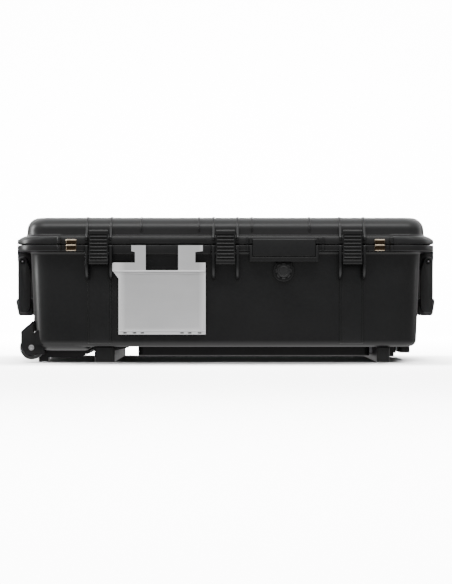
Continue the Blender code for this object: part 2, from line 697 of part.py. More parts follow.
for side, name in ((-1, "front"), (1, "rear")):
    pivot = empty(f"wheel_{name}_pivot", (WHEEL_X, side * 200.0, WHEEL_Z))
    y0, y1 = side * WHEEL_Y0, side * WHEEL_Y1
    part(
        f"wheel_{name}_tyre",
        "rubber",
        turned(
            bmesh.new(),
            [(17.6, y0), (22.7, y0), (WHEEL_R, y0 + side * 3), (WHEEL_R, y1 - side * 3), (22.7, y1), (17.6, y1)],
            WHEEL_X,
            WHEEL_Z,
            30,
        ),
        parent=pivot,
    )
    part(
        f"wheel_{name}_hub",
        "trim",
        turned(
            bmesh.new(),
            [(3.3, y0), (8.0, y0), (9.0, y0 + side * 5), (14.5, y0 + side * 5), (15.0, y0 + side * 0.5), (17.2, y0 + side * 0.5)]
            + [(17.2, y1 - side * 0.5), (15.0, y1 - side * 0.5), (14.5, y1 - side * 5), (9.0, y1 - side * 5), (8.0, y1), (3.3, y1)],
            WHEEL_X,
            WHEEL_Z,
            18,
        ),
        parent=pivot,
    )

# ---------------------------------------------------------------- feet
foot_channels = merged(*[box(290, 340, s * TUBE_Y - 11.9, s * TUBE_Y + 11.9, TUBE_Z - 7.9, TUBE_Z + 7.7) for s in (-1, 1)])
gussets = merged(
    prism("y", [(-265.0, 30.2), (-256.0, 30.2), (-256.0, 17.0)], -205.0, 205.0),
    prism("y", [(-224.0, 30.2), (-193.5, 30.2), (-193.5, 28.6), (-224.0, 22.0)], -205.0, 205.0),
)
part("foot_rail_left", "trim", soft_block(-259.0, -219.0, -219.0, 219.0, 0.0, 30.6, 6.0, 1.6, 3), join=[gussets])
part("foot_rail_right", "trim", soft_block(299.0, 325.0, -219.0, 219.0, 0.0, 30.6, 6.0, 1.6, 3), cut=[foot_channels])
skid = prism(
    "y",
    [(-270.0, 22.4), (-357.2, 22.4), (-366.9, 26.0), (-373.5, 33.4), (-379.0, 33.4), (-379.0, 10.0), (-377.0, 8.0), (-296.0, 8.5), (-284.0, 11.0), (-273.0, 17.0)],
    -172.0,
    172.0,
)
skid_feet = merged(*[soft_block(-374.0, -354.0, s * 150 - 22, s * 150 + 22, 0.0, 12.0, 5.0, 1.5, 3) for s in (-1, 1)])
part("wheel_end_skid", "trim", skid, join=[skid_feet])


# ---------------------------------------------------------------- trolley
SIDES = ((-1, "front"), (1, "rear"))


def tube(side, x0, x1, width, height, wall):
    """One rectangular tube beside the middle, and what hollows it."""
    y, w, h = side * TUBE_Y, width / 2 - wall, height / 2 - wall
    outer = box(x0, x1, y - width / 2, y + width / 2, TUBE_Z - height / 2, TUBE_Z + height / 2)
    return outer, box(x0 - 10, x1 + 10, y - w, y + w, TUBE_Z - h, TUBE_Z + h)


channels = merged(*[box(TROLLEY_X0 + 5, 400, s * TUBE_Y - 11.9, s * TUBE_Y + 11.9, TUBE_Z - 7.9, TUBE_Z + 7.7) for s in (-1, 1)])
part(
    "trolley_housing",
    "trim",
    soft_block(TROLLEY_X0, TROLLEY_X1, -102.0, 102.0, 9.0, 30.6, 10.0, 2.0, 3),
    cut=[channels],
)
channels = merged(*[box(300, 400, s * TUBE_Y - 11.9, s * TUBE_Y + 11.9, TUBE_Z - 7.9, TUBE_Z + 7.7) for s in (-1, 1)])
part("trolley_end_bracket", "trim", soft_block(325.5, 343.0, -102.0, 102.0, 8.0, 30.6, 5.0, 1.5, 3), cut=[channels])
for side, name in SIDES:
    outer, inner = tube(side, TROLLEY_X0 + 7, 342.6, 23.0, 14.8, 1.3)
    part(f"trolley_outer_tube_{name}", "alloy", outer, cut=[inner])

stage_pivot = empty("trolley_stage_one", (343, 0, TUBE_Z))
for side, name in SIDES:
    outer, inner = tube(side, -160.0, 346.8, 19.6, 11.4, 1.2)
    part(f"trolley_mid_tube_{name}", "alloy", outer, cut=[inner], parent=stage_pivot)
    outer, inner = tube(side, 343.4, 347.6, 23.6, 15.4, 1.65)
    part(f"trolley_collar_{name}", "trim", outer, cut=[inner], parent=stage_pivot)

grip_pivot = empty("trolley_stage_two", (348, 0, TUBE_Z))
grip_pivot.parent = stage_pivot
grip_pivot.matrix_parent_inverse = stage_pivot.matrix_world.inverted()
bpy.context.view_layer.update()
for side, name in SIDES:
    outer, inner = tube(side, -150.0, 356.6, 16.4, 8.2, 1.1)
    part(f"trolley_inner_tube_{name}", "alloy", outer, cut=[inner], parent=grip_pivot)

grip = soft_block(352.6, 376.0, -96.0, 96.0, 15.0, 30.2, 7.0, 3.0, 4)
sockets = merged(*[box(350.8, 356.0, s * TUBE_Y - 11.5, s * TUBE_Y + 11.5, 17.0, 28.8) for s in (-1, 1)])
bores = merged(*[box(340, 356.9, s * TUBE_Y - 8.5, s * TUBE_Y + 8.5, TUBE_Z - 4.4, TUBE_Z + 4.4) for s in (-1, 1)])
passage = box(356.8, 369.6, -78.0, 78.0, TUBE_Z - 3.0, TUBE_Z + 3.0)
button_room = box(366.3, 380.0, -20.0, 20.0, TUBE_Z - 4.0, TUBE_Z + 4.0)
part("trolley_grip", "trim", grip, join=[sockets], cut=[bores, passage, button_room], parent=grip_pivot)

release_pivot = empty("trolley_release", (370, 0, TUBE_Z))
release_pivot.parent = grip_pivot
release_pivot.matrix_parent_inverse = grip_pivot.matrix_world.inverted()
bpy.context.view_layer.update()
part("trolley_button", "grey", soft_block(369.9, 376.6, -19.6, 19.6, TUBE_Z - 3.6, TUBE_Z + 3.6, 1.8, 0.8, 3), parent=release_pivot)
rods = merged(*[rod((s * TUBE_Y, TUBE_Z), "x", 200.0, 367.5, 1.6, 8) for s in (-1, 1)])
part("trolley_release_rods", "steel", box(366.4, 369.0, -77.0, 77.0, TUBE_Z - 2.4, TUBE_Z + 2.4), join=[rods], parent=release_pivot)
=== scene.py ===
"""Looks of the drone carrying case: fine shells, moulded details, foam and
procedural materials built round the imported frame. Lengths in the builders below
are millimetres and become metres when a mesh is finished."""

import math
import random

import bmesh
import bpy
from mathutils import Matrix, Vector


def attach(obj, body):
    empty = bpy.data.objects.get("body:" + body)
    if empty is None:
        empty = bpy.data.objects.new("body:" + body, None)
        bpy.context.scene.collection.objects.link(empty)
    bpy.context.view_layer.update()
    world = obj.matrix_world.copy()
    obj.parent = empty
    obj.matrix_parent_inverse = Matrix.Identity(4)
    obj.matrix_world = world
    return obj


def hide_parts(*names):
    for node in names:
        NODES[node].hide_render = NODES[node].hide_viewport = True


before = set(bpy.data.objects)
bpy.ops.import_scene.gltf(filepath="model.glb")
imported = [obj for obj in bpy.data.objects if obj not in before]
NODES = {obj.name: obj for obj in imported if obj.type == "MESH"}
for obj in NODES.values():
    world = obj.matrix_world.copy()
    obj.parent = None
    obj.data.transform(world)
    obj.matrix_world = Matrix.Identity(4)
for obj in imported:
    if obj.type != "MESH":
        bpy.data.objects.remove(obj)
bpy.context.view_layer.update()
MM = 0.001
random.seed(7)

# ------------------------------------------------------------------ materials


class Nodes:
    """Short hand for building a node tree."""

    def __init__(self, name):
        self.m = bpy.data.materials.new(name)
        self.m.use_nodes = True
        self.t = self.m.node_tree
        self.shader = self.t.nodes["Principled BSDF"]
        self.place = self.t.nodes.new("ShaderNodeTexCoord").outputs["Object"]

    def node(self, kind, **settings):
        n = self.t.nodes.new(kind)
        for key, value in settings.items():
            setattr(n, key, value)
        return n

    def link(self, a, b):
        self.t.links.new(a, b)

    def noise(self, scale, detail=4.0, rough=0.55, stretch=None, distortion=0.0):
        n = self.node("ShaderNodeTexNoise")
        n.inputs["Scale"].default_value = scale
        n.inputs["Detail"].default_value = detail
        n.inputs["Roughness"].default_value = rough
        n.inputs["Distortion"].default_value = distortion
        self.link(self.stretched(stretch), n.inputs["Vector"])
        return n.outputs["Fac"]

    def voronoi(self, scale, feature="F1", stretch=None, output="Distance"):
        n = self.node("ShaderNodeTexVoronoi", feature=feature)
        n.inputs["Scale"].default_value = scale
        self.link(self.stretched(stretch), n.inputs["Vector"])
        return n.outputs[output]

    def stretched(self, stretch):
        if stretch is None:
            return self.place
        m = self.node("ShaderNodeMapping")
        m.inputs["Scale"].default_value = stretch
        self.link(self.place, m.inputs["Vector"])
        return m.outputs["Vector"]

    def remap(self, value, low, high, to_low, to_high):
        n = self.node("ShaderNodeMapRange")
        for key, v in (("From Min", low), ("From Max", high), ("To Min", to_low), ("To Max", to_high)):
            n.inputs[key].default_value = v
        self.link(value, n.inputs["Value"])
        return n.outputs["Result"]

    def math(self, kind, a, b):
        n = self.node("ShaderNodeMath", operation=kind)
        for socket, v in zip(n.inputs, (a, b)):
            if isinstance(v, (int, float)):
                socket.default_value = v
            else:
                self.link(v, socket)
        return n.outputs[0]

    def mix(self, factor, a, b):
        n = self.node("ShaderNodeMix", data_type="RGBA")
        if isinstance(factor, (int, float)):
            n.inputs["Factor"].default_value = factor
        else:
            self.link(factor, n.inputs["Factor"])
        for socket, v in ((n.inputs["A"], a), (n.inputs["B"], b)):
            if isinstance(v, tuple):
                socket.default_value = (*v, 1.0)
            else:
                self.link(v, socket)
        return n.outputs["Result"]

    def bump(self, height, strength, distance, normal=None):
        n = self.node("ShaderNodeBump")
        n.inputs["Strength"].default_value = strength
        n.inputs["Distance"].default_value = distance
        self.link(height, n.inputs["Height"])
        if normal is not None:
            self.link(normal, n.inputs["Normal"])
        return n.outputs["Normal"]

    def set(self, key, value):
        if isinstance(value, (int, float)):
            self.shader.inputs[key].default_value = value
        else:
            self.link(value, self.shader.inputs[key])

    def done(self, colour=None, roughness=None, normal=None, metallic=0.0, **more):
        if isinstance(colour, tuple):
            self.shader.inputs["Base Color"].default_value = (*colour, 1.0)
        elif colour is not None:
            self.link(colour, self.shader.inputs["Base Color"])
        if roughness is not None:
            self.set("Roughness", roughness)
        self.shader.inputs["Metallic"].default_value = metallic
        if normal is not None:
            self.link(normal, self.shader.inputs["Normal"])
        for key, value in more.items():
            self.set(key.replace("_", " "), value)
        return self.m


def moulded(name, dark, light, rough_low, rough_high, grain, scuffs, dust=0.0, specular=0.5):
    """Injection moulded plastic: spark-eroded grain, cloudy gloss, fine scuffs and settled dust."""
    n = Nodes(name)
    cloud = n.noise(9.0, 5.0)
    fine = n.noise(140.0, 3.0)
    colour = n.mix(n.remap(cloud, 0.3, 0.7, 0.0, 1.0), dark, light)
    colour = n.mix(n.remap(fine, 0.35, 0.75, 0.0, 0.35), colour, tuple(c * 1.5 for c in light))
    # scuffs run mostly along the case
    a = n.noise(75.0, 2.0, stretch=(0.35, 1.0, 6.0), distortion=0.6)
    b = n.noise(60.0, 2.0, stretch=(5.0, 1.0, 0.5), distortion=0.8)
    scuff = n.math("MAXIMUM", n.remap(a, 0.69, 0.74, 0.0, 1.0), n.remap(b, 0.71, 0.76, 0.0, 0.8))
    worn = n.math("MULTIPLY", scuff, n.remap(n.noise(4.0, 2.0), 0.45, 0.7, 0.0, scuffs))
    colour = n.mix(worn, colour, tuple(min(c * 4.0, 0.9) for c in light))
    if dust:
        normal = n.node("ShaderNodeNewGeometry").outputs["Normal"]
        up = n.node("ShaderNodeSeparateXYZ")
        n.link(normal, up.inputs[0])
        settled = n.remap(up.outputs["Z"], 0.55, 1.0, 0.0, dust)
        settled = n.math("MULTIPLY", settled, n.remap(n.noise(35.0, 6.0), 0.35, 0.75, 0.2, 1.0))
        colour = n.mix(settled, colour, (0.10, 0.098, 0.095))
    rough = n.remap(cloud, 0.25, 0.75, rough_low, rough_high)
    rough = n.math("ADD", rough, n.math("MULTIPLY", worn, 0.12))
    pebble = n.voronoi(950.0, "SMOOTH_F1")
    spark = n.noise(1500.0, 2.0)
    height = n.math("ADD", n.math("MULTIPLY", pebble, 0.7), n.math("MULTIPLY", spark, 0.5))
    first = n.bump(height, grain, 0.00025)
    wave = n.bump(n.noise(14.0, 2.0), 0.05, 0.002, first)
    return n.done(colour, rough, wave, **{"Specular_IOR_Level": specular})


def metal(name, colour, rough, stretch, tarnish=None, tarnish_amount=0.0):
    n = Nodes(name)
    lines = n.noise(900.0, 3.0, stretch=stretch)
    cloud = n.noise(60.0, 4.0)
    base = n.mix(n.remap(lines, 0.3, 0.7, 0.0, 0.35), colour, tuple(c * 0.72 for c in colour))
    if tarnish is not None:
        base = n.mix(n.remap(cloud, 0.4, 0.7, 0.0, tarnish_amount), base, tarnish)
    r = n.math("ADD", n.remap(lines, 0.3, 0.7, rough - 0.06, rough + 0.08), n.remap(cloud, 0.3, 0.7, 0.0, 0.08))
    return n.done(base, r, n.bump(lines, 0.12, 0.0001), metallic=1.0)


def rubber(name, colour, rough=0.72):
    n = Nodes(name)
    cloud = n.noise(30.0, 4.0)
    grain = n.noise(1100.0, 3.0)
    base = n.mix(n.remap(cloud, 0.3, 0.7, 0.0, 1.0), colour, tuple(c * 1.6 for c in colour))
    return n.done(base, n.remap(cloud, 0.3, 0.7, rough - 0.08, rough + 0.08), n.bump(grain, 0.35, 0.0003), **{"Specular_IOR_Level": 0.35})


def foam_look(name, colour):
    """Open-cell polyurethane: pits between the cells, painted darker as shade, and a soft fuzz at grazing angles."""
    n = Nodes(name)
    cells = n.voronoi(620.0, "SMOOTH_F1")
    big = n.voronoi(260.0, "F1")
    cloud = n.noise(24.0, 4.0)
    # painted shade: the colour is darkened in the pits of the cells, where the bump is lowest
    base = n.mix(n.remap(cells, 0.1, 0.6, 0.0, 1.0), tuple(c * 0.45 for c in colour), colour)
    base = n.mix(n.remap(cloud, 0.35, 0.7, 0.0, 0.4), base, tuple(c * 1.5 for c in colour))
    height = n.math("ADD", n.math("MULTIPLY", cells, 1.0), n.math("MULTIPLY", big, 0.5))
    return n.done(base, 0.95, n.bump(height, 0.8, 0.0008), **{"Specular_IOR_Level": 0.15, "Sheen_Weight": 0.25, "Sheen_Roughness": 0.6})


M = {
    "shell": moulded("shell_plastic", (0.0080, 0.0080, 0.0083), (0.0112, 0.0112, 0.0116), 0.31, 0.38, 0.20, 0.16, dust=0.03, specular=0.46),
    "trim": moulded("trim_plastic", (0.0090, 0.0090, 0.0093), (0.0130, 0.0130, 0.0133), 0.29, 0.36, 0.10, 0.10, specular=0.5),
    "button": moulded("button_plastic", (0.24, 0.24, 0.25), (0.30, 0.30, 0.31), 0.36, 0.46, 0.16, 0.10),
    "valve": moulded("valve_plastic", (0.0190, 0.0190, 0.0194), (0.0260, 0.0260, 0.0265), 0.26, 0.34, 0.08, 0.08, specular=0.55),
    "arm": moulded("handle_plastic", (0.0180, 0.0180, 0.0184), (0.0240, 0.0240, 0.0244), 0.30, 0.38, 0.12, 0.12, specular=0.5),
    "lever": moulded("lever_plastic", (0.0070, 0.0070, 0.0073), (0.0100, 0.0100, 0.0103), 0.36, 0.44, 0.12, 0.10, specular=0.36),
    "rubber": rubber("grip_rubber", (0.0520, 0.0520, 0.0525)),
    "gasket": rubber("gasket_rubber", (0.016, 0.016, 0.017), 0.55),
    "tyre": rubber("tyre_rubber", (0.0520, 0.0520, 0.0525), 0.66),
    "foam": foam_look("foam_charcoal", (0.030, 0.030, 0.032)),
    "steel": metal("brushed_steel", (0.66, 0.66, 0.67), 0.26, (1.0, 1.0, 14.0)),
    "alloy": metal("anodised_tube", (0.52, 0.53, 0.55), 0.34, (0.05, 6.0, 6.0)),
    "pin": metal("blackened_pin", (0.030, 0.030, 0.032), 0.38, (14.0, 1.0, 1.0)),
}



def capped_pin(name, axes):
    """Blackened pin whose centre mark is bare steel. The marks lie on lines along Y at the given X and Z."""
    n = Nodes(name)
    split = n.node("ShaderNodeSeparateXYZ")
    n.link(n.place, split.inputs[0])
    near = None
    for x, z in axes:
        dx = n.math("SUBTRACT", split.outputs["X"], x)
        dz = n.math("SUBTRACT", split.outputs["Z"], z)
        far = n.math("SQRT", n.math("ADD", n.math("MULTIPLY", dx, dx), n.math("MULTIPLY", dz, dz)), 0.0)
        near = far if near is None else n.math("MINIMUM", near, far)
    mark = n.remap(near, 0.0019, 0.0016, 0.0, 1.0)
    grain = n.noise(700.0, 3.0)
    dark = n.mix(n.remap(grain, 0.3, 0.7, 0.0, 1.0), (0.012, 0.012, 0.013), (0.020, 0.020, 0.021))
    return n.done(n.mix(mark, dark, (0.62, 0.62, 0.63)), n.remap(mark, 0.0, 1.0, 0.42, 0.28), n.bump(grain, 0.1, 0.0001), metallic=1.0)


def pocket_plastic(name):
    """Frosted grey plastic: a faint cloud and flow lines, with painted highlights along the plate's borders and along
    its ridge.
    """
    n = Nodes(name)
    split = n.node("ShaderNodeSeparateXYZ")
    n.link(n.place, split.inputs[0])
    x, z = split.outputs["X"], split.outputs["Z"]
    # painted highlight: the colour is paled near the plate's left, right and bottom borders and along the ridge line,
    # where the edges would catch the light
    across = n.math("SUBTRACT", 0.085, n.math("ABSOLUTE", n.math("ADD", x, 0.124), 0.0))
    painted_highlight = n.remap(n.math("MINIMUM", across, n.math("SUBTRACT", z, 0.056)), 0.0, 0.014, 1.0, 0.0)
    crest = n.math("ABSOLUTE", n.math("SUBTRACT", z, 0.1799), 0.0)
    painted_highlight = n.math("MAXIMUM", painted_highlight, n.remap(crest, 0.0014, 0.0022, 1.0, 0.0))
    cloud = n.noise(11.0, 3.0)
    flow = n.noise(40.0, 2.0, stretch=(0.3, 1.0, 2.2), distortion=0.4)
    base = n.mix(n.remap(cloud, 0.35, 0.65, 0.0, 1.0), (0.625, 0.626, 0.631), (0.665, 0.666, 0.671))
    base = n.mix(n.remap(flow, 0.4, 0.7, 0.0, 0.3), base, (0.690, 0.691, 0.695))
    # mix in the painted highlight colour
    base = n.mix(painted_highlight, base, (0.97, 0.97, 0.972))
    grain = n.noise(1400.0, 2.0)
    return n.done(base, n.remap(cloud, 0.3, 0.7, 0.36, 0.46), n.bump(grain, 0.05, 0.0002), **{"Specular_IOR_Level": 0.4})


def eye_metal(name, hollows):
    """Worn brass plate; the front of the pressed hollows between the given heights is painted dark brown as shade."""
    n = Nodes(name)
    split = n.node("ShaderNodeSeparateXYZ")
    n.link(n.place, split.inputs[0])
    # painted shade: the recessed front faces of the hollows are coloured dark where shade falls in them
    painted_shade = None
    for low, high in hollows:
        off = n.math("ABSOLUTE", n.math("SUBTRACT", split.outputs["Z"], (low + high) / 2), 0.0)
        hollow_shade = n.remap(off, (high - low) / 2 + 0.0002, (high - low) / 2 - 0.0002, 0.0, 1.0)
        painted_shade = hollow_shade if painted_shade is None else n.math("MAXIMUM", painted_shade, hollow_shade)
    face = n.remap(split.outputs["Y"], -0.2730, -0.2716, 0.0, 1.0)
    painted_shade = n.math("MULTIPLY", painted_shade, n.math("MULTIPLY", face, n.remap(split.outputs["Y"], -0.2695, -0.2705, 0.0, 1.0)))
    lines = n.noise(900.0, 3.0, stretch=(1.0, 14.0, 14.0))
    cloud = n.noise(120.0, 4.0)
    bright = n.mix(n.remap(lines, 0.3, 0.7, 0.0, 0.4), (0.86, 0.74, 0.58), (0.68, 0.55, 0.38))
    bright = n.mix(n.remap(cloud, 0.45, 0.7, 0.0, 0.35), bright, (0.28, 0.19, 0.11))
    # mix in the painted shade
    base = n.mix(painted_shade, bright, (0.050, 0.032, 0.018))
    return n.done(base, n.remap(lines, 0.3, 0.7, 0.34, 0.48), n.bump(lines, 0.10, 0.0001), metallic=1.0)


M["pocket"] = pocket_plastic("pocket_plastic")
M["brass"] = eye_metal("lock_brass", ((0.2206, 0.2292), (0.2300, 0.2395)))
M["capped_pin"] = capped_pin("handle_pin", ((-0.4115, 0.201), (0.4115, 0.201)))

# ------------------------------------------------------------------ mesh tools


def add_box(bm, x0, x1, y0, y1, z0, z1):
    size = Matrix.Diagonal((x1 - x0, y1 - y0, z1 - z0, 1.0))
    place = Matrix.Translation(((x0 + x1) / 2, (y0 + y1) / 2, (z0 + z1) / 2))
    bmesh.ops.create_cube(bm, size=1.0, matrix=place @ size)
    return bm


def box(*limits):
    return add_box(bmesh.new(), *limits)


def add_rod(bm, centre, axis, low, high, radius, segments=32, radius_high=None):
    middle = (low + high) / 2
    if axis == "x":
        place, turn = (middle, *centre), Matrix.Rotation(math.radians(90), 4, "Y")
    elif axis == "y":
        place, turn = (centre[0], middle, centre[1]), Matrix.Rotation(math.radians(-90), 4, "X")
    else:
        place, turn = (*centre, middle), Matrix.Identity(4)
    bmesh.ops.create_cone(
        bm,
        cap_ends=True,
        segments=segments,
        radius1=radius,
        radius2=radius if radius_high is None else radius_high,
        depth=high - low,
        matrix=Matrix.Translation(place) @ turn,
    )
    return bm


def rod(*args, **kwargs):
    return add_rod(bmesh.new(), *args, **kwargs)


def add_prism(bm, axis, outline, low, high):
    def at(p, q, along):
        return {"x": (along, p, q), "y": (p, along, q), "z": (p, q, along)}[axis]

    face = bm.faces.new([bm.verts.new(at(p, q, low)) for p, q in outline])
    grown = bmesh.ops.extrude_face_region(bm, geom=[face])
    moved = [v for v in grown["geom"] if isinstance(v, bmesh.types.BMVert)]
    bmesh.ops.translate(bm, verts=moved, vec=Vector(at(0, 0, high - low)))
    return bm


def prism(*args):
    return add_prism(bmesh.new(), *args)


def loft(rings, caps=True, closed=False):
    bm = bmesh.new()
    rows = [[bm.verts.new(p) for p in ring] for ring in rings]
    pairs = list(zip(rows, rows[1:])) + ([(rows[-1], rows[0])] if closed else [])
    for a, b in pairs:
        for i in range(len(a)):
            j = (i + 1) % len(a)
            bm.faces.new((a[i], a[j], b[j], b[i]))
    if caps and not closed:
        bm.faces.new(rows[0])
        bm.faces.new(list(reversed(rows[-1])))
    return bm


STEP_X = 326.0


def rim_ring(z, hx, hy, r, inset=0.0, segments=12):
    ring = []
    for k, (sx, sy) in enumerate(((1, 1), (-1, 1), (-1, -1), (1, -1))):
        for i in range(segments + 1):
            a = math.radians(90 * k + 90 * i / segments)
            ring.append((sx * (hx - r) + r * math.cos(a), sy * (hy - r) + r * math.sin(a), z))
        if k in (0, 2):
            side = 1 if k == 0 else -1
            for x, y in (
                (STEP_X + 1.5, hy),
                (STEP_X, hy - 0.1 * inset),
                (STEP_X - 4, hy - 0.9 * inset),
                (STEP_X - 5.5, hy - inset),
                (5.5 - STEP_X, hy - inset),
                (4 - STEP_X, hy - 0.9 * inset),
                (-STEP_X, hy - 0.1 * inset),
                (-STEP_X - 1.5, hy),
            ):
                ring.append((side * x, side * y, z))
    return ring


def pad_ring(z, x0, x1, y0, y1, r, segments=8):
    ring = []
    for k, (cx, cy) in enumerate(((x1 - r, y1 - r), (x0 + r, y1 - r), (x0 + r, y0 + r), (x1 - r, y0 + r))):
        for i in range(segments + 1):
            a = math.radians(90 * k + 90 * i / segments)
            ring.append((cx + r * math.cos(a), cy + r * math.sin(a), z))
    return ring


def soft_block(x0, x1, y0, y1, z0, z1, r, edge, segments=8, steps=4):
    """A block with round upright corners and quarter-round top and bottom edges."""
    rings = []
    for z, sign in ((z0, 1), (z1, -1)):
        half = []
        for i in range(steps + 1):
            t = math.radians(90 * i / steps)
            e = edge * (1 - math.sin(t))
            half.append(pad_ring(z + sign * edge * (1 - math.cos(t)), x0 + e, x1 - e, y0 + e, y1 - e, max(r - e, 0.3), segments))
        rings += half if sign == 1 else list(reversed(half))
    return loft(rings)


def turned(profile, x, z, segments=48, axis="y"):
    """A closed ring profile of (radius, position) pairs swept about a Y axis."""
    bm = bmesh.new()
    rows = []
    for i in range(segments):
        a = 2 * math.pi * i / segments
        rows.append([bm.verts.new((x + r * math.cos(a), y, z + r * math.sin(a))) for r, y in profile])
    for i in range(segments):
        a, b = rows[i], rows[(i + 1) % segments]
        for k in range(len(profile)):
            n = (k + 1) % len(profile)
            bm.faces.new((a[k], a[n], b[n], b[k]))
    return bm


def merged(*pieces):
    whole = bmesh.new()
    for piece in pieces:
        mesh = bpy.data.meshes.new("piece")
        bmesh.ops.recalc_face_normals(piece, faces=piece.faces)
        piece.to_mesh(mesh)
        piece.free()
        whole.from_mesh(mesh)
        bpy.data.meshes.remove(mesh)
    return whole


def bevelled(bm, width, segments=3, angle=28.0):
    """Rounds every edge sharper than the angle."""
    bmesh.ops.recalc_face_normals(bm, faces=bm.faces)
    sharp = [e for e in bm.edges if len(e.link_faces) == 2 and e.calc_face_angle(0.0) > math.radians(angle)]
    if sharp:
        bmesh.ops.bevel(
            bm,
            geom=sharp,
            offset=width,
            offset_type="OFFSET",
            segments=segments,
            profile=0.5,
            affect="EDGES",
            clamp_overlap=True,
            harden_normals=False,
        )
    return bm


def to_object(name, bm):
    bmesh.ops.recalc_face_normals(bm, faces=bm.faces)
    bmesh.ops.scale(bm, vec=(MM, MM, MM), verts=bm.verts)
    mesh = bpy.data.meshes.new(name)
    bm.to_mesh(mesh)
    bm.free()
    obj = bpy.data.objects.new(name, mesh)
    bpy.context.scene.collection.objects.link(obj)
    return obj


def combined(bm, *steps):
    """Booleans in turn on bm: pairs of 'UNION' or 'DIFFERENCE' and a tool. Gives a new bmesh in millimetres."""
    obj = to_object("work", bm)
    tools = []
    for kind, tool_bm in steps:
        tool = to_object("tool", tool_bm)
        modifier = obj.modifiers.new(kind, "BOOLEAN")
        modifier.operation, modifier.solver, modifier.object = kind, "EXACT", tool
        tools.append(tool)
    graph = bpy.context.evaluated_depsgraph_get()
    mesh = bpy.data.meshes.new_from_object(obj.evaluated_get(graph))
    out = bmesh.new()
    out.from_mesh(mesh)
    for o in [obj, *tools]:
        bpy.data.objects.remove(o, do_unlink=True)
    bpy.data.meshes.remove(mesh)
    bmesh.ops.scale(out, vec=(1000, 1000, 1000), verts=out.verts)
    bmesh.ops.remove_doubles(out, verts=out.verts, dist=0.003)
    return out


def piece(name, bm, look, body, replaces=(), smooth=32.0, slot=None):
    obj = to_object(name, bm)
    obj.data.materials.append(M[look] if isinstance(look, str) else look)
    obj.data.shade_smooth()
    obj.data.set_sharp_from_angle(angle=math.radians(smooth))
    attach(obj, body)
    if replaces:
        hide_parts(*replaces)
    return obj


def lerp(a, b, t):
    return a + (b - a) * t


def arc(cx, cz, r, a0, a1, steps):
    """Points of an arc, in degrees."""
    return [
        (cx + r * math.cos(math.radians(lerp(a0, a1, i / steps))), cz + r * math.sin(math.radians(lerp(a0, a1, i / steps))))
        for i in range(steps + 1)
    ]


# ------------------------------------------------------------------ dimensions
FX, FY, STEP = 412.0, 265.0, 6.0
LATCH_X = (-248.0, 0.0, 248.0)
LATCHES = tuple(zip(LATCH_X, ("left", "centre", "right")))
HINGE = (268.0, 233.0)
HX, HZ = 411.5, 201.0


def wall(z):
    """Outer wall of the base at a height: half length, half depth, corner radius."""
    t = (z - 45.0) / (217.0 - 45.0)
    return lerp(378.7, 385.5, t), lerp(234.2, 241.0, t), lerp(36.0, 38.0, t)


# ------------------------------------------------------------------ base shell
def base_outer():
    rings = []
    rings.append(rim_ring(232.0, 384.0, 239.5, 36.0))
    # the rims stand apart round their outer edge
    rings.append(rim_ring(232.0, 402.0, 256.5, 47.5, 4.0))
    rings.append(rim_ring(231.2, 402.4, 257.0, 48.0, 4.2))
    for off, z in arc(-1.1, 230.1, 1.1, 90, 0, 4):
        rings.append(rim_ring(z, FX + off, FY + off, 58.0 + off, STEP))
    for off, z in arc(-1.6, 220.8, 1.6, 0, -90, 3):
        rings.append(rim_ring(z, FX + off, FY + off, 58.0 + off, STEP))
    # the underside of the flange runs into the wall through a fillet
    rings.append(rim_ring(218.6, 396.0, 251.0, 48.0, STEP * 0.4))
    wx, wy, wr = wall(212.0)
    for off, z in arc(6.0, 212.0, 6.0, 90, 180, 4):
        rings.append(rim_ring(z, wx + off, wy + off, wr + off * 0.4))
    for z in (180.0, 140.0, 100.0, 70.0):
        rings.append(rim_ring(z, *wall(z)))
    wx, wy, wr = wall(45.0)
    for off, z in arc(-14.0, 45.0, 14.0, 0, -90, 8):
        rings.append(rim_ring(z, wx + off, wy + off, wr + off * 0.7))
    return loft(rings)


cavity = loft(
    [
        rim_ring(36.0, 364.0, 219.0, 22.0),
        rim_ring(37.0, 369.0, 224.0, 26.0),
        rim_ring(41.0, 373.0, 228.0, 30.0),
        rim_ring(48.0, 374.0, 229.5, 31.0),
        rim_ring(229.6, 380.4, 235.9, 34.0),
        rim_ring(230.9, 381.0, 236.5, 34.2),
        rim_ring(236.0, 384.0, 239.5, 36.0),
    ]
)


def wheel_end_block():
    rings = [pad_ring(60.0, -378.6, -262.0, -234.0, 234.0, 36.0)]
    wx = 378.2
    for off, z in arc(-24.0, 47.0, 24.0, 0, -90, 9):
        rings.append(pad_ring(z, -wx - off, -264.0 + off * 0.55, -233.6 - off, 233.6 + off, 35.0 + off * 0.75))
    return loft(rings)


pods = merged(*[box(-376.0, -352.5, s * 200 - 25, s * 200 + 25, 34.0, 64.0) for s in (-1, 1)])
notches = merged(*[soft_block(-430.0, -357.0, s * 200 - 21, s * 200 + 21, -5.0, 60.0, 3.0, 1.0) for s in (-1, 1)])
shell = combined(base_outer(), ("UNION", wheel_end_block()), ("DIFFERENCE", cavity), ("UNION", pods), ("DIFFERENCE", notches))

extras = []
# rib pairs that carry the latches
for x in LATCH_X:
    for side in (-1, 1):
        low, high = sorted((x + side * 21.0, x + side * 26.0))
        outline = [(-236.0, 230.4), (-267.6, 230.4), (-268.6, 229.0), (-268.6, 196.0)]
        outline += [(-268.0, 188.0), (-264.5, 178.0), (-256.0, 169.0), (-246.0, 163.5), (-236.0, 162.0)]
        extras.append(bevelled(prism("x", outline, low, high), 1.0, 3))
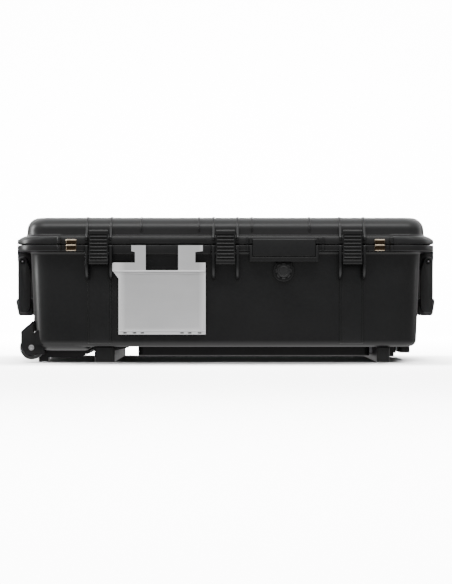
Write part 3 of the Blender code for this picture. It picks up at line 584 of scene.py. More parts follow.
# the frame round the lid's tongue, guide ribs, valve boss
frame_out = [(47.0, 198.8), (182.0, 198.8), (182.0, 230.4), (176.7, 230.4), (176.7, 207.6), (52.3, 207.6), (52.3, 230.4), (47.0, 230.4)]
extras.append(bevelled(prism("y", frame_out, -265.0, -237.0), 0.9, 3))
extras.append(bevelled(box(52.0, 177.0, -259.6, -238.0, 205.0, 231.0), 0.8, 2))
for x0 in (96.6, 128.2):
    extras.append(bevelled(box(x0, x0 + 3.2, -245.8, -237.5, 187.0, 203.0), 0.8, 2))
extras.append(bevelled(rod((114.0, 180.6), "y", -246.0, -236.8, 21.0, 48), 1.2, 3))
# upright beads where the rims step back
for x in (-325.0, 325.0):
    extras.append(bevelled(rod((x, -262.4), "z", 219.8, 230.8, 4.6, 32), 0.9, 3, 50))
# small lips beside the tongue and near the right latch
for x0, x1 in ((40.8, 44.4), (188.0, 193.0)):
    extras.append(bevelled(box(x0, x1, -262.6, -250.0, 219.6, 231.4), 0.7, 2))
# the rim is deeper over the pocket
extras.append(bevelled(box(-222.0, -28.0, -259.9, -239.0, 213.0, 231.0), 1.2, 3))
# raised bands run from the outer latches down to the floor
for x in (-248.0, 248.0):
    lo, hi = x - 22.5, x + 22.5
    top, bottom = wall(196.0)[1], wall(46.0)[1]
    band = [(-top + 3, 196.0), (-top - 1.3, 196.0), (-bottom - 1.3, 46.0)]
    band += [(-bottom + 0.6, 38.5), (-bottom + 9.5, 32.2), (-bottom + 16, 32.2), (-bottom + 3.5, 46.0)]
    extras.append(bevelled(prism("x", band, lo, hi), 0.9, 3))
    for side in (-1, 1):
        low, high = sorted((x + side * 20.2, x + side * 23.2))
        bead = [(-top + 3, 197.0), (-top - 2.6, 197.0), (-bottom - 2.6, 46.0), (-bottom - 0.6, 39.0), (-bottom + 9.0, 33.0), (-bottom + 16, 33.0), (-bottom + 3.5, 46.0)]
        extras.append(bevelled(prism("x", bead, low, high), 0.8, 3))
# handle lugs
for end in (-1, 1):
    for side in (-1, 1):
        y0, y1 = sorted((side * 78.0, side * 96.4))
        outline = [(end * 381.8, 218.0), (end * (HX + 12.3), 218.0), (end * (HX + 12.3), 204.0)]
        outline += [(end * (HX + 12.3 * math.cos(math.radians(a))), 202.0 + 12.3 * math.sin(math.radians(a))) for a in (-20, -45, -70, -95)]
        outline += [(end * 400.0, 187.0), (end * 381.8, 172.0)]
        extras.append(bevelled(prism("y", outline, y0, y1), 1.3, 3))
        rise = [(end * 404.0, 216.0), (end * 404.0, 230.8), (end * (HX + 9.8), 230.8), (end * (HX + 12.3), 228.0), (end * (HX + 12.3), 216.0)]
        extras.append(bevelled(prism("y", rise, y0, y1), 0.9, 3))
# rear knuckles, with stiffening ribs under the flange
for x in LATCH_X:
    for side in (-1, 1):
        x0, x1 = sorted((x + side * 11.9, x + side * 26.0))
        tube = combined(rod(HINGE, "x", x0, x1, 7.0, 40), ("DIFFERENCE", rod(HINGE, "x", x0 - 5, x1 + 5, 2.8, 24)))
        extras.append(bevelled(tube, 0.5, 2, 50))
        web = [(252.0, 220.5), (252.0, 230.5), (262.4, 231.0), (262.4, 226.0), (268.0, 226.3), (263.0, 219.5)]
        extras.append(bevelled(prism("x", web, x0 + 0.3, x1 - 0.3), 0.7, 2))
        low, high = sorted((x + side * 21.0, x + side * 26.0))
        rear = [(236.0, 222.0), (259.5, 222.0), (259.5, 214.0), (252.0, 186.0), (244.0, 172.0), (236.0, 170.0)]
        extras.append(bevelled(prism("x", rear, low, high), 1.0, 2))
piece("base_shell_moulding", merged(shell, *extras), "shell", "base", ["base_shell"], slot="shell")

# ------------------------------------------------------------------ lid shell
LID_BODY = "lid"


def lid_outer_rings():
    rings = []
    rings.append(rim_ring(232.6, 402.0, 256.5, 47.5, 4.0))
    rings.append(rim_ring(233.3, 402.4, 257.0, 48.0, 4.2))
    for off, z in arc(-1.1, 234.4, 1.1, -90, 0, 4):
        rings.append(rim_ring(z, FX + off, FY + off, 58.0 + off, STEP))
    rings.append(rim_ring(240.8, FX, FY - 0.6, 58.0, STEP))
    rings.append(rim_ring(241.8, FX - 1.0, FY - 0.7, 57.5, STEP))
    rings.append(rim_ring(246.2, FX - 8.0, FY - 1.3, 54.0, STEP))
    rings.append(rim_ring(247.6, FX - 11.0, FY - 2.0, 52.5, STEP))
    rings.append(rim_ring(248.5, FX - 13.0, FY - 3.6, 51.5, STEP * 0.9))
    rings.append(rim_ring(249.1, FX - 15.0, FY - 7.5, 49.0, STEP * 0.6))
    for off, z in arc(4.4, 253.8, 4.4, 250, 180, 4):
        rings.append(rim_ring(z, 392.9 + off * 0.8, 246.8 + off, 39.0 + off * 0.5, max(0.0, (252.5 - z)) * 0.5))
    rings.append(rim_ring(261.0, 392.2, 246.0, 38.0))
    for i in range(1, 13):
        a = math.radians(90 * i / 12)
        off = -28.0 * (1 - math.cos(a))
        ends = -25.0 * (1 - math.cos(a))
        rings.append(rim_ring(261.0 + 25.0 * math.sin(a), 392.2 + ends, 246.0 + off, 38.0 + off * 0.6))
    return rings


lid_rings = [
    rim_ring(280.3, 360.0, 215.0, 20.0),
    rim_ring(279.2, 366.0, 221.0, 24.0),
    rim_ring(276.5, 372.0, 227.0, 28.0),
    rim_ring(271.0, 380.0, 234.8, 32.0),
    rim_ring(262.0, 385.6, 240.5, 34.0),
    rim_ring(234.0, 386.9, 241.9, 35.0),
    rim_ring(232.6, 388.0, 243.0, 35.5),
    rim_ring(232.6, 390.5, 245.5, 37.0),
    rim_ring(237.6, 390.5, 245.5, 37.0),
    rim_ring(237.6, 396.5, 251.5, 40.0),
    rim_ring(232.6, 396.5, 251.5, 40.0),
    *lid_outer_rings(),
]
lid_parts = [loft(lid_rings)]


def lid_rib(x, half, latch):
    # the rib follows the round shoulder of the lid 2.4 mm proud of it
    shoulder = []
    for a in range(0, 91, 10):
        proud = lerp(3.2, 1.4, (a / 90) ** 3)
        shoulder.append((-(218.0 + (28.0 + proud) * math.cos(math.radians(a))), 261.0 + (24.8 + proud) * math.sin(math.radians(a))))
    over = shoulder + [(-y, z) for y, z in reversed(shoulder)]
    under = [(243.4, 262.0), (240.0, 270.0), (235.0, 276.0), (227.0, 280.4), (217.5, 282.4)]
    under = under + [(-y, z) for y, z in reversed(under)]
    if latch:
        front = [(-255.0, 241.0), (-266.0, 241.0), (-266.4, 246.0), (-262.0, 253.5), (-254.5, 262.0)]
        over = [p for p in over if p[0] > -249.0]
        front += [(-250.6, 269.0)]
        back = [(257.4, 252.0), (257.4, 240.8), (254.0, 240.8), (247.0, 250.5)]
        over = [p for p in over if p[0] < 249.5]
        bm = prism("x", front + over + back + under + [(-247.0, 250.5)], x - half, x + half)
    else:
        bm = prism("x", [(-247.6, 256.0)] + over + [(247.6, 256.0)] + under, x - half, x + half)
    return bevelled(bm, 0.9, 3, 25)


for x in LATCH_X:
    for side in (-1, 1):
        lid_parts.append(lid_rib(x + side * 23.5, 2.45, True))
for x in (-165.0, -52.0, 52.0, 165.0):
    lid_parts.append(lid_rib(x, 1.9, False))
# the tongue over the parting line, with its raised rim, and its mirrored recess lip
lid_parts.append(
    bevelled(
        prism(
            "x",
            [(-264.0, 241.4), (-264.0, 209.6), (-263.2, 208.8), (-261.2, 208.8), (-260.4, 209.6), (-260.4, 233.6), (-257.0, 233.6), (-257.0, 242.4), (-263.0, 242.4)],
            53.0,
            176.0,
        ),
        0.7,
        3,
    )
)
for x0, x1 in ((46.6, 52.0), (177.0, 182.4)):
    lid_parts.append(bevelled(box(x0, x1, -264.6, -255.0, 233.8, 246.0), 0.9, 3))
for x0, x1 in ((40.8, 44.4), (188.0, 193.0)):
    lid_parts.append(bevelled(box(x0, x1, -262.4, -250.0, 233.8, 246.4), 0.7, 2))
lid_parts.append(bevelled(box(-187.0, -38.5, -260.2, -250.0, 234.6, 244.2), 0.6, 2))
for x in (-325.0, 325.0):
    lid_parts.append(bevelled(rod((x, -262.4), "z", 234.0, 245.8, 4.6, 32), 0.9, 3, 50))
for x in LATCH_X:
    tube = combined(rod(HINGE, "x", x - 11.4, x + 11.4, 7.0, 40), ("DIFFERENCE", rod(HINGE, "x", x - 20, x + 20, 2.8, 24)))
    lid_parts.append(bevelled(tube, 0.5, 2, 50))
    web = [(254.5, 235.2), (254.5, 246.0), (262.0, 243.3), (268.0, 240.3), (263.2, 238.4), (262.0, 235.2)]
    lid_parts.append(bevelled(prism("x", web, x - 11.2, x + 11.2), 0.6, 2))
piece("lid_shell_moulding", merged(*lid_parts), "shell", LID_BODY, ["lid_shell"], slot="shell")

# ------------------------------------------------------------------ gasket
seal_rings = [
    rim_ring(233.0, 391.3, 246.3, 37.4),
    rim_ring(235.6, 391.2, 246.2, 37.3),
    rim_ring(237.2, 391.6, 246.6, 37.5),
    rim_ring(237.2, 395.4, 250.4, 39.5),
    rim_ring(235.6, 395.9, 250.9, 39.8),
    rim_ring(233.4, 395.6, 250.6, 39.6),
    rim_ring(232.9, 393.6, 248.6, 38.6),
]
piece("lid_gasket_cord", loft(seal_rings, caps=False, closed=True), "gasket", "lid", ["lid_gasket"], slot="rubber")

# ------------------------------------------------------------------ latches
P2 = (-264.0, 198.5)


def lever_plate():
    """The lever from the side: a plate with a round bar at each end, its top folded back as a hook."""
    pts = [(-259.6, 259.2), (-260.4, 260.0)]
    pts += arc(-271.8, 256.8, 3.2, 90, 180, 5)
    pts += [(-275.0, 254.2), (-274.4, 252.6), (-271.4, 252.0), (-271.4, 202.6), (-274.4, 201.8), (-275.0, 200.2)]
    pts += arc(-271.8, 196.2, 3.2, 180, 270, 5)
    pts += [(-270.2, 193.0), (-269.0, 194.2), (-269.0, 250.6), (-267.8, 252.2), (-259.6, 253.4)]
    return pts


for x, side in LATCHES:
    plate = prism("x", lever_plate(), x - 18.5, x + 18.5)
    cheek = [(-271.5, 205.5), (-271.5, 193.6), (-262.2, 193.9), (-260.0, 196.4), (-260.0, 200.8), (-262.4, 203.4), (-267.0, 205.5)]
    cheeks = [prism("x", cheek, *sorted((x + s * 14.4, x + s * 18.7))) for s in (-1, 1)]
    bore = rod(P2, "x", x - 25, x + 25, 2.3, 24)
    lever = combined(plate, ("UNION", merged(*cheeks)), ("DIFFERENCE", bore))
    shapes = [bevelled(lever, 0.5, 2, 30)]
    for i in range(7):
        z = 247.4 - i * 6.85
        ridge = [(-270.6, z + 1.5), (-274.0, z + 1.35), (-275.0, z - 0.65), (-274.7, z - 1.0), (-270.6, z - 1.5)]
        shapes.append(bevelled(prism("x", ridge, x - 16.5, x + 16.5), 0.25, 2, 30))
    piece(f"latch_{side}_lever_moulding", merged(*shapes), "lever", f"latch_{side}_lever", [f"latch_{side}_lever"], slot="trim")

# ------------------------------------------------------------------ side handles
# section of the rubber sleeve, from the handle's plane: full at the top, tapered to the bottom
SLEEVE = [
    (15.0, 118.0), (14.95, 120.4), (14.4, 122.6), (13.2, 124.5), (11.4, 125.7), (9.0, 126.3), (6.0, 126.4), (-12.0, 126.4),
    (-14.6, 126.0), (-16.5, 125.0), (-17.6, 123.2), (-18.0, 121.0), (-18.0, 99.0), (-17.7, 96.0), (-16.6, 93.4), (-15.0, 91.7),
    (-13.0, 91.0), (6.0, 91.0), (7.8, 91.4), (9.2, 92.4), (10.2, 94.0), (10.9, 96.4), (13.0, 106.0),
]
for end, side in ((1, "right"), (-1, "left")):
    outline = [(end * (HX + 9.8 * math.cos(math.radians(a))), HZ + 9.8 * math.sin(math.radians(a))) for a in range(0, 181, 10)]
    outline += [(end * (HX - 12.6), 194.0), (end * (HX - 15.4), 186.0), (end * (HX - 16.4), 176.0)]
    outline += [(end * (HX - 16.4), 112.0), (end * (HX - 14.6), 103.0), (end * (HX - 9.0), 96.0)]
    outline += [(end * (HX + 7.0), 96.0), (end * (HX + 9.0), 103.0), (end * (HX + 9.6), 112.0)]
    arms = []
    for s in (-1, 1):
        y0, y1 = sorted((s * 97.0, s * 114.0))
        arm = combined(prism("y", outline, y0, y1), ("DIFFERENCE", rod((end * HX, HZ), "y", y0 - 5, y1 + 5, 3.8, 32)))
        arms.append(bevelled(arm, 1.8, 3, 35))
    x0, x1 = sorted((end * (HX - 6.5), end * (HX + 6.5)))
    arms.append(box(x0, x1, -97.5, 97.5, 101.5, 115.5))
    piece(f"handle_{side}_frame_moulding", merged(*arms), "arm", f"handle_{side}", [f"handle_{side}_frame"], slot="trim")

    # the rubber sleeve, with fine grooves round it between plain ends
    rings = []
    ys = [-96.6, -96.0, -95.0, -93.0]
    count = 15
    for i in range(count):
        y = -84.0 + i * 12.0
        ys += [y - 1.6, y - 0.8, y + 0.8, y + 1.6]
    ys += [93.0, 95.0, 96.0, 96.6]
    for k, y in enumerate(ys):
        if k in (0, len(ys) - 1):
            shrink = 1.4
        elif k in (1, len(ys) - 2):
            shrink = 0.5
        elif 4 <= k < len(ys) - 4 and (k - 4) % 4 in (1, 2):
            shrink = 0.9
        else:
            shrink = 0.0
        ring = []
        for dx, z in SLEEVE:
            d = math.hypot(dx - 1.0, z - 108.5)
            ring.append((end * (HX + dx - shrink * (dx - 1.0) / d), y, z - shrink * (z - 108.5) / d))
        rings.append(ring)
    piece(f"handle_{side}_sleeve", loft(rings), "rubber", f"handle_{side}", [f"handle_{side}_grip"], slot="rubber")

# ------------------------------------------------------------------ document pocket
pocket = box(-209.0, -39.0, -263.0, -243.2, 56.0, 178.4)
shoulder = prism("y", [(-219.4, 178.6), (-39.0, 178.6), (-39.0, 196.5), (-219.0, 196.5), (-221.0, 194.5), (-221.0, 180.6)], -264.4, -260.9)
corner = prism("y", [(-219.4, 179.0), (-209.0, 165.0), (-205.0, 165.0), (-205.0, 179.0)], -262.9, -260.9)
left_post = prism("y", [(-184.0, 230.4), (-184.0, 219.0), (-177.0, 217.0), (-177.0, 190.0), (-156.0, 190.0), (-156.0, 230.4)], -264.2, -259.6)
right_post = prism("y", [(-92.5, 230.4), (-92.5, 190.0), (-59.0, 190.0), (-59.0, 217.0), (-44.5, 219.0), (-44.5, 230.4)], -264.2, -259.6)
back_posts = merged(box(-177.0, -158.0, -263.5, -243.4, 172.0, 196.0), box(-90.5, -60.0, -263.5, -243.4, 172.0, 196.0))
hooks = merged(box(-176.0, -158.0, -262.0, -246.0, 207.0, 215.0), box(-90.5, -60.0, -262.0, -246.0, 207.0, 215.0))
window = prism("y", [(-156.0, 240.0), (-156.0, 182.5), (-152.5, 179.4), (-96.0, 179.4), (-92.5, 182.5), (-92.5, 240.0)], -270.0, -258.5)
drains = [bevelled(box(x - 3.6, x + 3.6, -270.0, -256.0, 57.6, 60.4), 0.8, 2) for x in (-196.5, -177.8, -162.5, -85.0, -69.8, -50.5)]
body = combined(
    pocket,
    ("UNION", shoulder),
    ("UNION", corner),
    ("UNION", left_post),
    ("UNION", right_post),
    ("UNION", back_posts),
    ("UNION", hooks),
    ("DIFFERENCE", box(-206.2, -41.8, -260.4, -245.8, 58.8, 190.0)),
    ("DIFFERENCE", window),
    ("DIFFERENCE", merged(*drains)),
    ("DIFFERENCE", bevelled(box(-204.6, -43.4, -270.0, -262.2, 64.5, 174.0), 0.7, 2)),
)
ridge = bevelled(box(-219.6, -39.2, -265.6, -261.2, 178.4, 181.4), 1.1, 3)
rim_bar = bevelled(box(-208.4, -39.6, -263.9, -260.8, 61.4, 64.2), 0.9, 3)
piece("document_pocket_moulding", merged(bevelled(body, 0.6, 3, 35), ridge, rim_bar), "pocket", "base", ["document_pocket"], slot="pocket_grey")

# ------------------------------------------------------------------ purge valve
VX, VZ = 114.0, 180.6
profile = [(3.0, -251.6), (14.6, -251.6), (15.6, -251.3), (16.3, -250.7), (16.6, -249.9), (16.6, -246.3), (12.8, -246.3), (12.8, -247.8), (9.2, -247.8), (8.6, -246.3), (8.6, -229.0), (3.0, -229.0)]
holes = bmesh.new()
for i in range(8):
    a = math.radians(22.5 + 45 * i)
    add_rod(holes, (VX + 15.6 * math.cos(a), VZ + 15.6 * math.sin(a)), "y", -254.0, -245.0, 2.6, 24)
rim = combined(turned(profile, VX, VZ, 64), ("DIFFERENCE", holes))
piece("valve_body_moulding", bevelled(rim, 0.35, 2, 40), "valve", "base", ["valve_body"], slot="trim")
cap = [(0.6, -253.4), (8.2, -253.5), (8.8, -253.9), (9.4, -254.9), (10.2, -255.2), (11.2, -255.1), (11.9, -254.5), (12.2, -253.5), (12.3, -251.9), (0.6, -251.9)]
cap_rings = [[(VX + r * math.cos(2 * math.pi * i / 64), y, VZ + r * math.sin(2 * math.pi * i / 64)) for i in range(64)] for r, y in cap]
piece("valve_cap_moulding", loft(cap_rings), "valve", "base", ["valve_cap"], slot="trim")

# ------------------------------------------------------------------ lock eyes
for holder, z0, z1, name in (("base", 219.4, 231.7, "base"), ("lid", 233.4, 241.9, "lid")):
    for side, x in (("left", -301.0), ("right", 301.0)):
        low, high = (z0 + 1.3, z1 - 2.5) if name == "base" else (z0 - 2.0, z1 - 2.4)
        eye = combined(
            soft_block(x - 10.3, x + 10.3, -273.4, -259.3, z0, z1, 3.0, 0.9, 8, 4),
            ("DIFFERENCE", rod((x, -266.4), "z", 210, 255, 4.0, 40)),
            ("DIFFERENCE", bevelled(box(x - 9.4, x + 9.4, -280.0, -271.2, low, high), 0.5, 2)),
        )
        piece(f"{name}_lock_eye_{side}_turned", bevelled(eye, 0.3, 2, 40), "brass", holder, [f"{name}_lock_eye_{side}"], slot="brass")

# ------------------------------------------------------------------ wheels
WX, WZ, WR = -383.5, 29.2, 24.0
outline = [(-358.2, 16.0), (-358.2, 59.3), (-380.8, 59.3), (-381.2, 82.0), (-404.5, 61.0), (-404.5, 32.0), (-394.0, 14.5)]
for s, side in ((-1, "front"), (1, "rear")):
    y0, y1 = sorted((s * 182.6, s * 217.4))
    a0, a1 = sorted((s * 186.8, s * 213.2))
    fork = combined(
        prism("y", outline, y0, y1),
        ("DIFFERENCE", rod((WX, WZ), "y", a0, a1, WR + 2.4, 64)),
        ("DIFFERENCE", rod((WX, WZ), "y", y0 - 3, y1 + 3, 3.3, 32)),
    )
    piece(f"wheel_{side}_fork", bevelled(fork, 1.1, 3, 35), "trim", "base", [f"wheel_{side}_housing"], slot="trim")
    shaft = [(WX, WZ), "y", *sorted((s * 183.0, s * 218.6)), 2.95, 24]
    head = rod((WX, WZ), "y", *sorted((s * 217.8, s * 220.6)), 5.6, 48)
    slot_cut = rod((WX + 0.3, WZ + 0.6), "y", *sorted((s * 218.3, s * 222.0)), 3.1, 6)
    bolt = combined(rod(*shaft), ("UNION", head), ("DIFFERENCE", slot_cut))
    piece(f"wheel_{side}_bolt_turned", bevelled(bolt, 0.5, 3, 40), "steel", "base", [f"wheel_{side}_bolt"], slot="steel")

    # tread: bars across the tyre that lean one way, then the other
    b0, b1 = sorted((s * 188.0, s * 212.0))
    bm = bmesh.new()
    count, rows = 168, []
    section = [(17.6, 0.0), (21.9, 0.0), (22.7, 0.35), (23.4, 1.2), (24.0, 2.8)]
    lateral = [2.8 + (b1 - b0 - 5.6) * k / 8 for k in range(9)]
    for i in range(count):
        a = 2 * math.pi * i / count
        ring = [(r, d) for r, d in section]
        for k, d in enumerate(lateral[1:-1], 1):
            lean = k if k <= 4 else 8 - k
            groove = (i + lean) % 6 < 2
            ring.append((WR - (1.3 if groove else 0.0), d))
        ring += [(r, (b1 - b0) - d) for r, d in reversed(section)]
        rows.append([bm.verts.new((WX + r * math.cos(a), b0 + d, WZ + r * math.sin(a))) for r, d in ring])
    for i in range(count):
        a, b = rows[i], rows[(i + 1) % count]
        for k in range(len(a)):
            n = (k + 1) % len(a)
            bm.faces.new((a[k], a[n], b[n], b[k]))
    piece(f"wheel_{side}_tread", bm, "tyre", f"wheel_{side}", [f"wheel_{side}_tyre"], slot="tyre")
    w0, w1 = s * 188.0, s * 212.0
    hub = [(3.3, w0), (7.6, w0), (8.4, w0 + s * 0.6), (9.0, w0 + s * 5), (14.5, w0 + s * 5), (15.0, w0 + s * 0.9), (15.4, w0 + s * 0.5), (17.2, w0 + s * 0.5)]
    hub += [(17.2, w1 - s * 0.5), (15.4, w1 - s * 0.5), (15.0, w1 - s * 0.9), (14.5, w1 - s * 5), (9.0, w1 - s * 5), (8.4, w1 - s * 0.6), (7.6, w1), (3.3, w1)]
    core = turned(hub, WX, WZ, 60)
    spokes = []
    for i in range(6):
        a = math.radians(60 * i)
        c = box(8.6, 14.9, s * 200 - 10.6, s * 200 + 10.6, -1.1, 1.1)
        bmesh.ops.rotate(c, verts=c.verts, cent=(0, 0, 0), matrix=Matrix.Rotation(a, 3, "Y"))
        bmesh.ops.translate(c, verts=c.verts, vec=(WX, 0, WZ))
        spokes.append(c)
    piece(f"wheel_{side}_rim", merged(core, *spokes), "trim", f"wheel_{side}", [f"wheel_{side}_hub"], slot="trim")

# ------------------------------------------------------------------ foam
def all_wells():
    wells = []
    for x0, x1, y0, y1, z0 in (
        (-150, 150, -78, 78, 92.0),
        (-330, -190, 30, 170, 112.0),
        (-330, -190, -170, -30, 92.0),
        (200, 258, -170, 170, 102.0),
        (288, 346, -170, 170, 102.0),
        (-140, -20, 112, 192, 122.0),
        (20, 140, 112, 192, 122.0),
        (-140, 140, -192, -112, 122.0),
    ):
        wells.append(soft_block(x0, x1, y0, y1, z0, 215.0, 6.0, 1.6, 6))
    return merged(*wells)


for block, x0, x1 in (("left", -372.0, -170.2), ("middle", -169.8, 174.8), ("right", 175.2, 372.0)):
    steps = [("DIFFERENCE", all_wells()), ("DIFFERENCE", box(VX - 20, VX + 20, -230, -216, VZ - 20, 215))]
    if x0 > -372.0:
        steps.append(("DIFFERENCE", box(-400.0, x0, -260.0, 260.0, 50.0, 230.0)))
    if x1 < 372.0:
        steps.append(("DIFFERENCE", box(x1, 400.0, -260.0, 260.0, 50.0, 230.0)))
    insert = combined(soft_block(-372.0, 372.0, -225.0, 225.0, 66.6, 206.0, 28.0, 4.0, 10), *steps)
    foam_block = piece(f"base_foam_{block}_insert", bevelled(insert, 1.4, 3, 50), "foam", "base", [f"base_foam_{block}"], slot="foam")
foam_floor = piece("base_foam_pad", soft_block(-348.0, 362.0, -217.0, 217.0, 36.6, 66.0, 26.0, 4.0, 10), "foam", "base", ["base_foam_floor"], slot="foam")


def egg_crate():
    """The lid's convoluted pad: a flat back and rows of rounded peaks towards the equipment."""
    bm = bmesh.new()
    nx, ny = 178, 106
    x0, x1, y0, y1, r = -356.0, 356.0, -211.0, 211.0, 26.0
    grid = []
    for i in range(nx + 1):
        row = []
        for j in range(ny + 1):
            x, y = lerp(x0, x1, i / nx), lerp(y0, y1, j / ny)
            # pull the corners of the grid onto the round corners of the pad
            dx, dy = max(0.0, abs(x) - (x1 - r)), max(0.0, abs(y) - (y1 - r))
            d = math.hypot(dx, dy)
            if d > r:
                x -= math.copysign(dx * (1 - r / d), x)
                y -= math.copysign(dy * (1 - r / d), y)
            edge = min(x1 - abs(x), y1 - abs(y), r - min(d, r) if d > 0 else 99.0)
            swell = 0.5 + 0.5 * math.cos(2 * math.pi * x / 42.0) * math.cos(2 * math.pi * y / 42.0)
            fade = min(1.0, max(0.0, edge) / 9.0)
            z = 240.2 + 3.0 * (1 - fade) ** 2 + (1 - swell) * 15.0 * (0.35 + 0.65 * fade)
            row.append((x, y, z))
        grid.append(row)
    front = [[bm.verts.new(p) for p in row] for row in grid]
    back = [[bm.verts.new((p[0], p[1], 279.6)) for p in row] for row in grid]
    for layer in (front, back):
        for i in range(nx):
            for j in range(ny):
                bm.faces.new((layer[i][j], layer[i + 1][j], layer[i + 1][j + 1], layer[i][j + 1]))
    rim_index = [(i, 0) for i in range(nx)] + [(nx, j) for j in range(ny)] + [(i, ny) for i in range(nx, 0, -1)] + [(0, j) for j in range(ny, 0, -1)]
    for (i, j), (k, m) in zip(rim_index, rim_index[1:] + rim_index[:1]):
        bm.faces.new((front[i][j], front[k][m], back[k][m], back[i][j]))
    return bm


crate = piece("lid_foam_convoluted", egg_crate(), "foam", "lid", ["lid_foam"], smooth=60.0, slot="foam")

# ------------------------------------------------------------------ carried-over nodes
LOOK_OF = {
    "hinge_pin": "pin",
    "valve_o_ring": "gasket",
    "valve_nut": "trim",
    "foot_rail_left": "trim",
    "foot_rail_right": "trim",
    "wheel_end_skid": "trim",
    "trolley_housing": "trim",
    "trolley_end_bracket": "trim",
    "trolley_grip": "trim",
    "trolley_button": "button",
    "trolley_release_rods": "steel",
}
for side in ("left", "right"):
    LOOK_OF[f"handle_{side}_pin"] = "capped_pin"
for _, side in LATCHES:
    LOOK_OF[f"latch_{side}_base_pin"] = "pin"
    LOOK_OF[f"latch_{side}_pin"] = "pin"
    LOOK_OF[f"latch_{side}_link"] = "trim"
for side in ("front", "rear"):
    LOOK_OF[f"trolley_collar_{side}"] = "trim"
    for tube in ("outer", "mid", "inner"):
        LOOK_OF[f"trolley_{tube}_tube_{side}"] = "alloy"
for name, look in LOOK_OF.items():
    obj = bpy.data.objects[name]
    for k in range(max(1, len(obj.material_slots))):
        if obj.material_slots:
            obj.material_slots[k].material = M[look]
        else:
            obj.data.materials.append(M[look])

# ------------------------------------------------------------------ stage
def stage_material():
    n = Nodes("studio_paper")
    fine = n.noise(300.0, 3.0)
    tone = n.mix(n.remap(fine, 0.3, 0.7, 0.0, 1.0), (0.215, 0.215, 0.215), (0.225, 0.225, 0.225))
    return n.done(tone, 0.9, n.bump(fine, 0.03, 0.0005), **{"Specular_IOR_Level": 0.1})


bm = bmesh.new()
profile = [(-6.0, 0.0), (2.6, 0.0)] + [(2.6 + 1.4 * math.sin(math.radians(a)), 1.4 - 1.4 * math.cos(math.radians(a))) for a in range(6, 91, 6)] + [(4.0, 6.0)]
rows = [[bm.verts.new((x, y, z)) for y, z in profile] for x in (-8.0, 8.0)]
for k in range(len(profile) - 1):
    bm.faces.new((rows[0][k], rows[1][k], rows[1][k + 1], rows[0][k + 1]))
bmesh.ops.recalc_face_normals(bm, faces=bm.faces)
mesh = bpy.data.meshes.new("studio_sweep")
bm.to_mesh(mesh)
bm.free()
mesh.materials.append(stage_material())
mesh.shade_smooth()
sweep = bpy.data.objects.new("studio_sweep", mesh)
bpy.context.scene.collection.objects.link(sweep)

# ------------------------------------------------------------------ light
def area(name, place, target, size, size_y, power, spread=180.0):
    lamp = bpy.data.lights.new(name, "AREA")
    lamp.shape, lamp.size, lamp.size_y, lamp.energy = "RECTANGLE", size, size_y, power
    lamp.spread = math.radians(spread)
    obj = bpy.data.objects.new(name, lamp)
    obj.location = place
    obj.rotation_euler = (Vector(target) - Vector(place)).to_track_quat("-Z", "Y").to_euler()
    bpy.context.scene.collection.objects.link(obj)
    return obj


# Lamps over the sweep light only the sweep, and its glare is kept off the case, so the
# black mouldings are drawn by the soft sky alone: dim in front, bright overhead, behind
# and to the left.
paper = bpy.data.collections.new("paper_only")
paper.objects.link(sweep)
sweep.visible_diffuse = False
sweep.visible_glossy = False
for lamp_settings in (
    ("overhead", (0.0, 0.85, 2.8), (0.0, 0.85, 0.0), 6.0, 1.3, 4200.0),
    ("backdrop_wash", (0.0, 1.7, 3.2), (0.0, 4.0, 1.0), 6.0, 1.2, 9500.0),
    ("floor_wash", (0.0, -3.0, 2.8), (0.0, -3.0, 0.0), 6.0, 2.8, 2600.0, 70.0),
):
    area(*lamp_settings).light_linking.receiver_collection = paper
area("key_strip", (0.0, -2.1, 2.65), (0.0, -0.25, 0.2), 3.4, 0.7, 42.0)
area("left_edge", (-2.6, -0.1, 0.8), (-0.4, -0.2, 0.15), 0.30, 1.7, 52.0)
area("right_edge", (2.6, 0.5, 0.8), (0.4, -0.2, 0.15), 0.3, 1.4, 8.0)

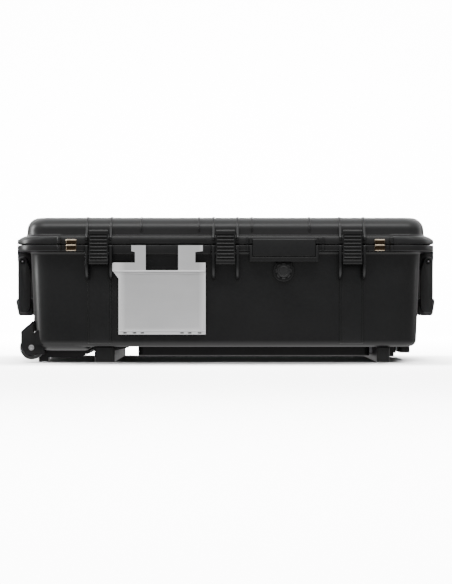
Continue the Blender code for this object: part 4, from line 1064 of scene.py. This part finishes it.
world = bpy.data.worlds.new("studio")
world.use_nodes = True
tree = world.node_tree


def world_ramp(source, low, high, to_low, to_high):
    ramp = tree.nodes.new("ShaderNodeMapRange")
    for key, v in (("From Min", low), ("From Max", high), ("To Min", to_low), ("To Max", to_high)):
        ramp.inputs[key].default_value = v
    tree.links.new(source, ramp.inputs["Value"])
    return ramp.outputs["Result"]


def world_math(kind, a, b):
    node = tree.nodes.new("ShaderNodeMath")
    node.operation = kind
    tree.links.new(a, node.inputs[0])
    tree.links.new(b, node.inputs[1])
    return node.outputs[0]


place = tree.nodes.new("ShaderNodeTexCoord")
split = tree.nodes.new("ShaderNodeSeparateXYZ")
tree.links.new(place.outputs["Generated"], split.inputs[0])
above = world_ramp(split.outputs["Z"], 0.02, 0.95, 0.26, 1.5)
below = world_ramp(split.outputs["Z"], -0.25, -0.95, 0.0, 1.3)
behind = world_ramp(split.outputs["Y"], 0.1, 0.8, 0.0, 1.5)
clear = world_ramp(split.outputs["Z"], 0.04, 0.35, 0.1, 1.0)
behind = world_math("MULTIPLY", behind, clear)
sky = world_math("ADD", world_math("ADD", above, below), behind)
# seen directly, past the edges of the sweep, the sky is as white as the paper
seen = tree.nodes.new("ShaderNodeMix")
tree.links.new(tree.nodes.new("ShaderNodeLightPath").outputs["Is Camera Ray"], seen.inputs["Factor"])
tree.links.new(sky, seen.inputs["A"])
seen.inputs["B"].default_value = 9.0
tree.links.new(seen.outputs["Result"], tree.nodes["Background"].inputs["Strength"])
tree.nodes["Background"].inputs["Color"].default_value = (1.0, 1.0, 1.0, 1.0)
bpy.context.scene.world = world

# ------------------------------------------------------------------ camera
camera = bpy.data.cameras.new("catalogue_view")
camera.sensor_fit = "VERTICAL"
camera.sensor_height = 24.0
camera.lens = 24.0 * 2012.0 / 584.0
camera.clip_end = 50.0
view = bpy.data.objects.new("catalogue_view", camera)
view.location = (0.001, -4.195, 0.139)
view.rotation_euler = (math.radians(90), 0.0, 0.0)
bpy.context.scene.collection.objects.link(view)
bpy.context.scene.camera = view
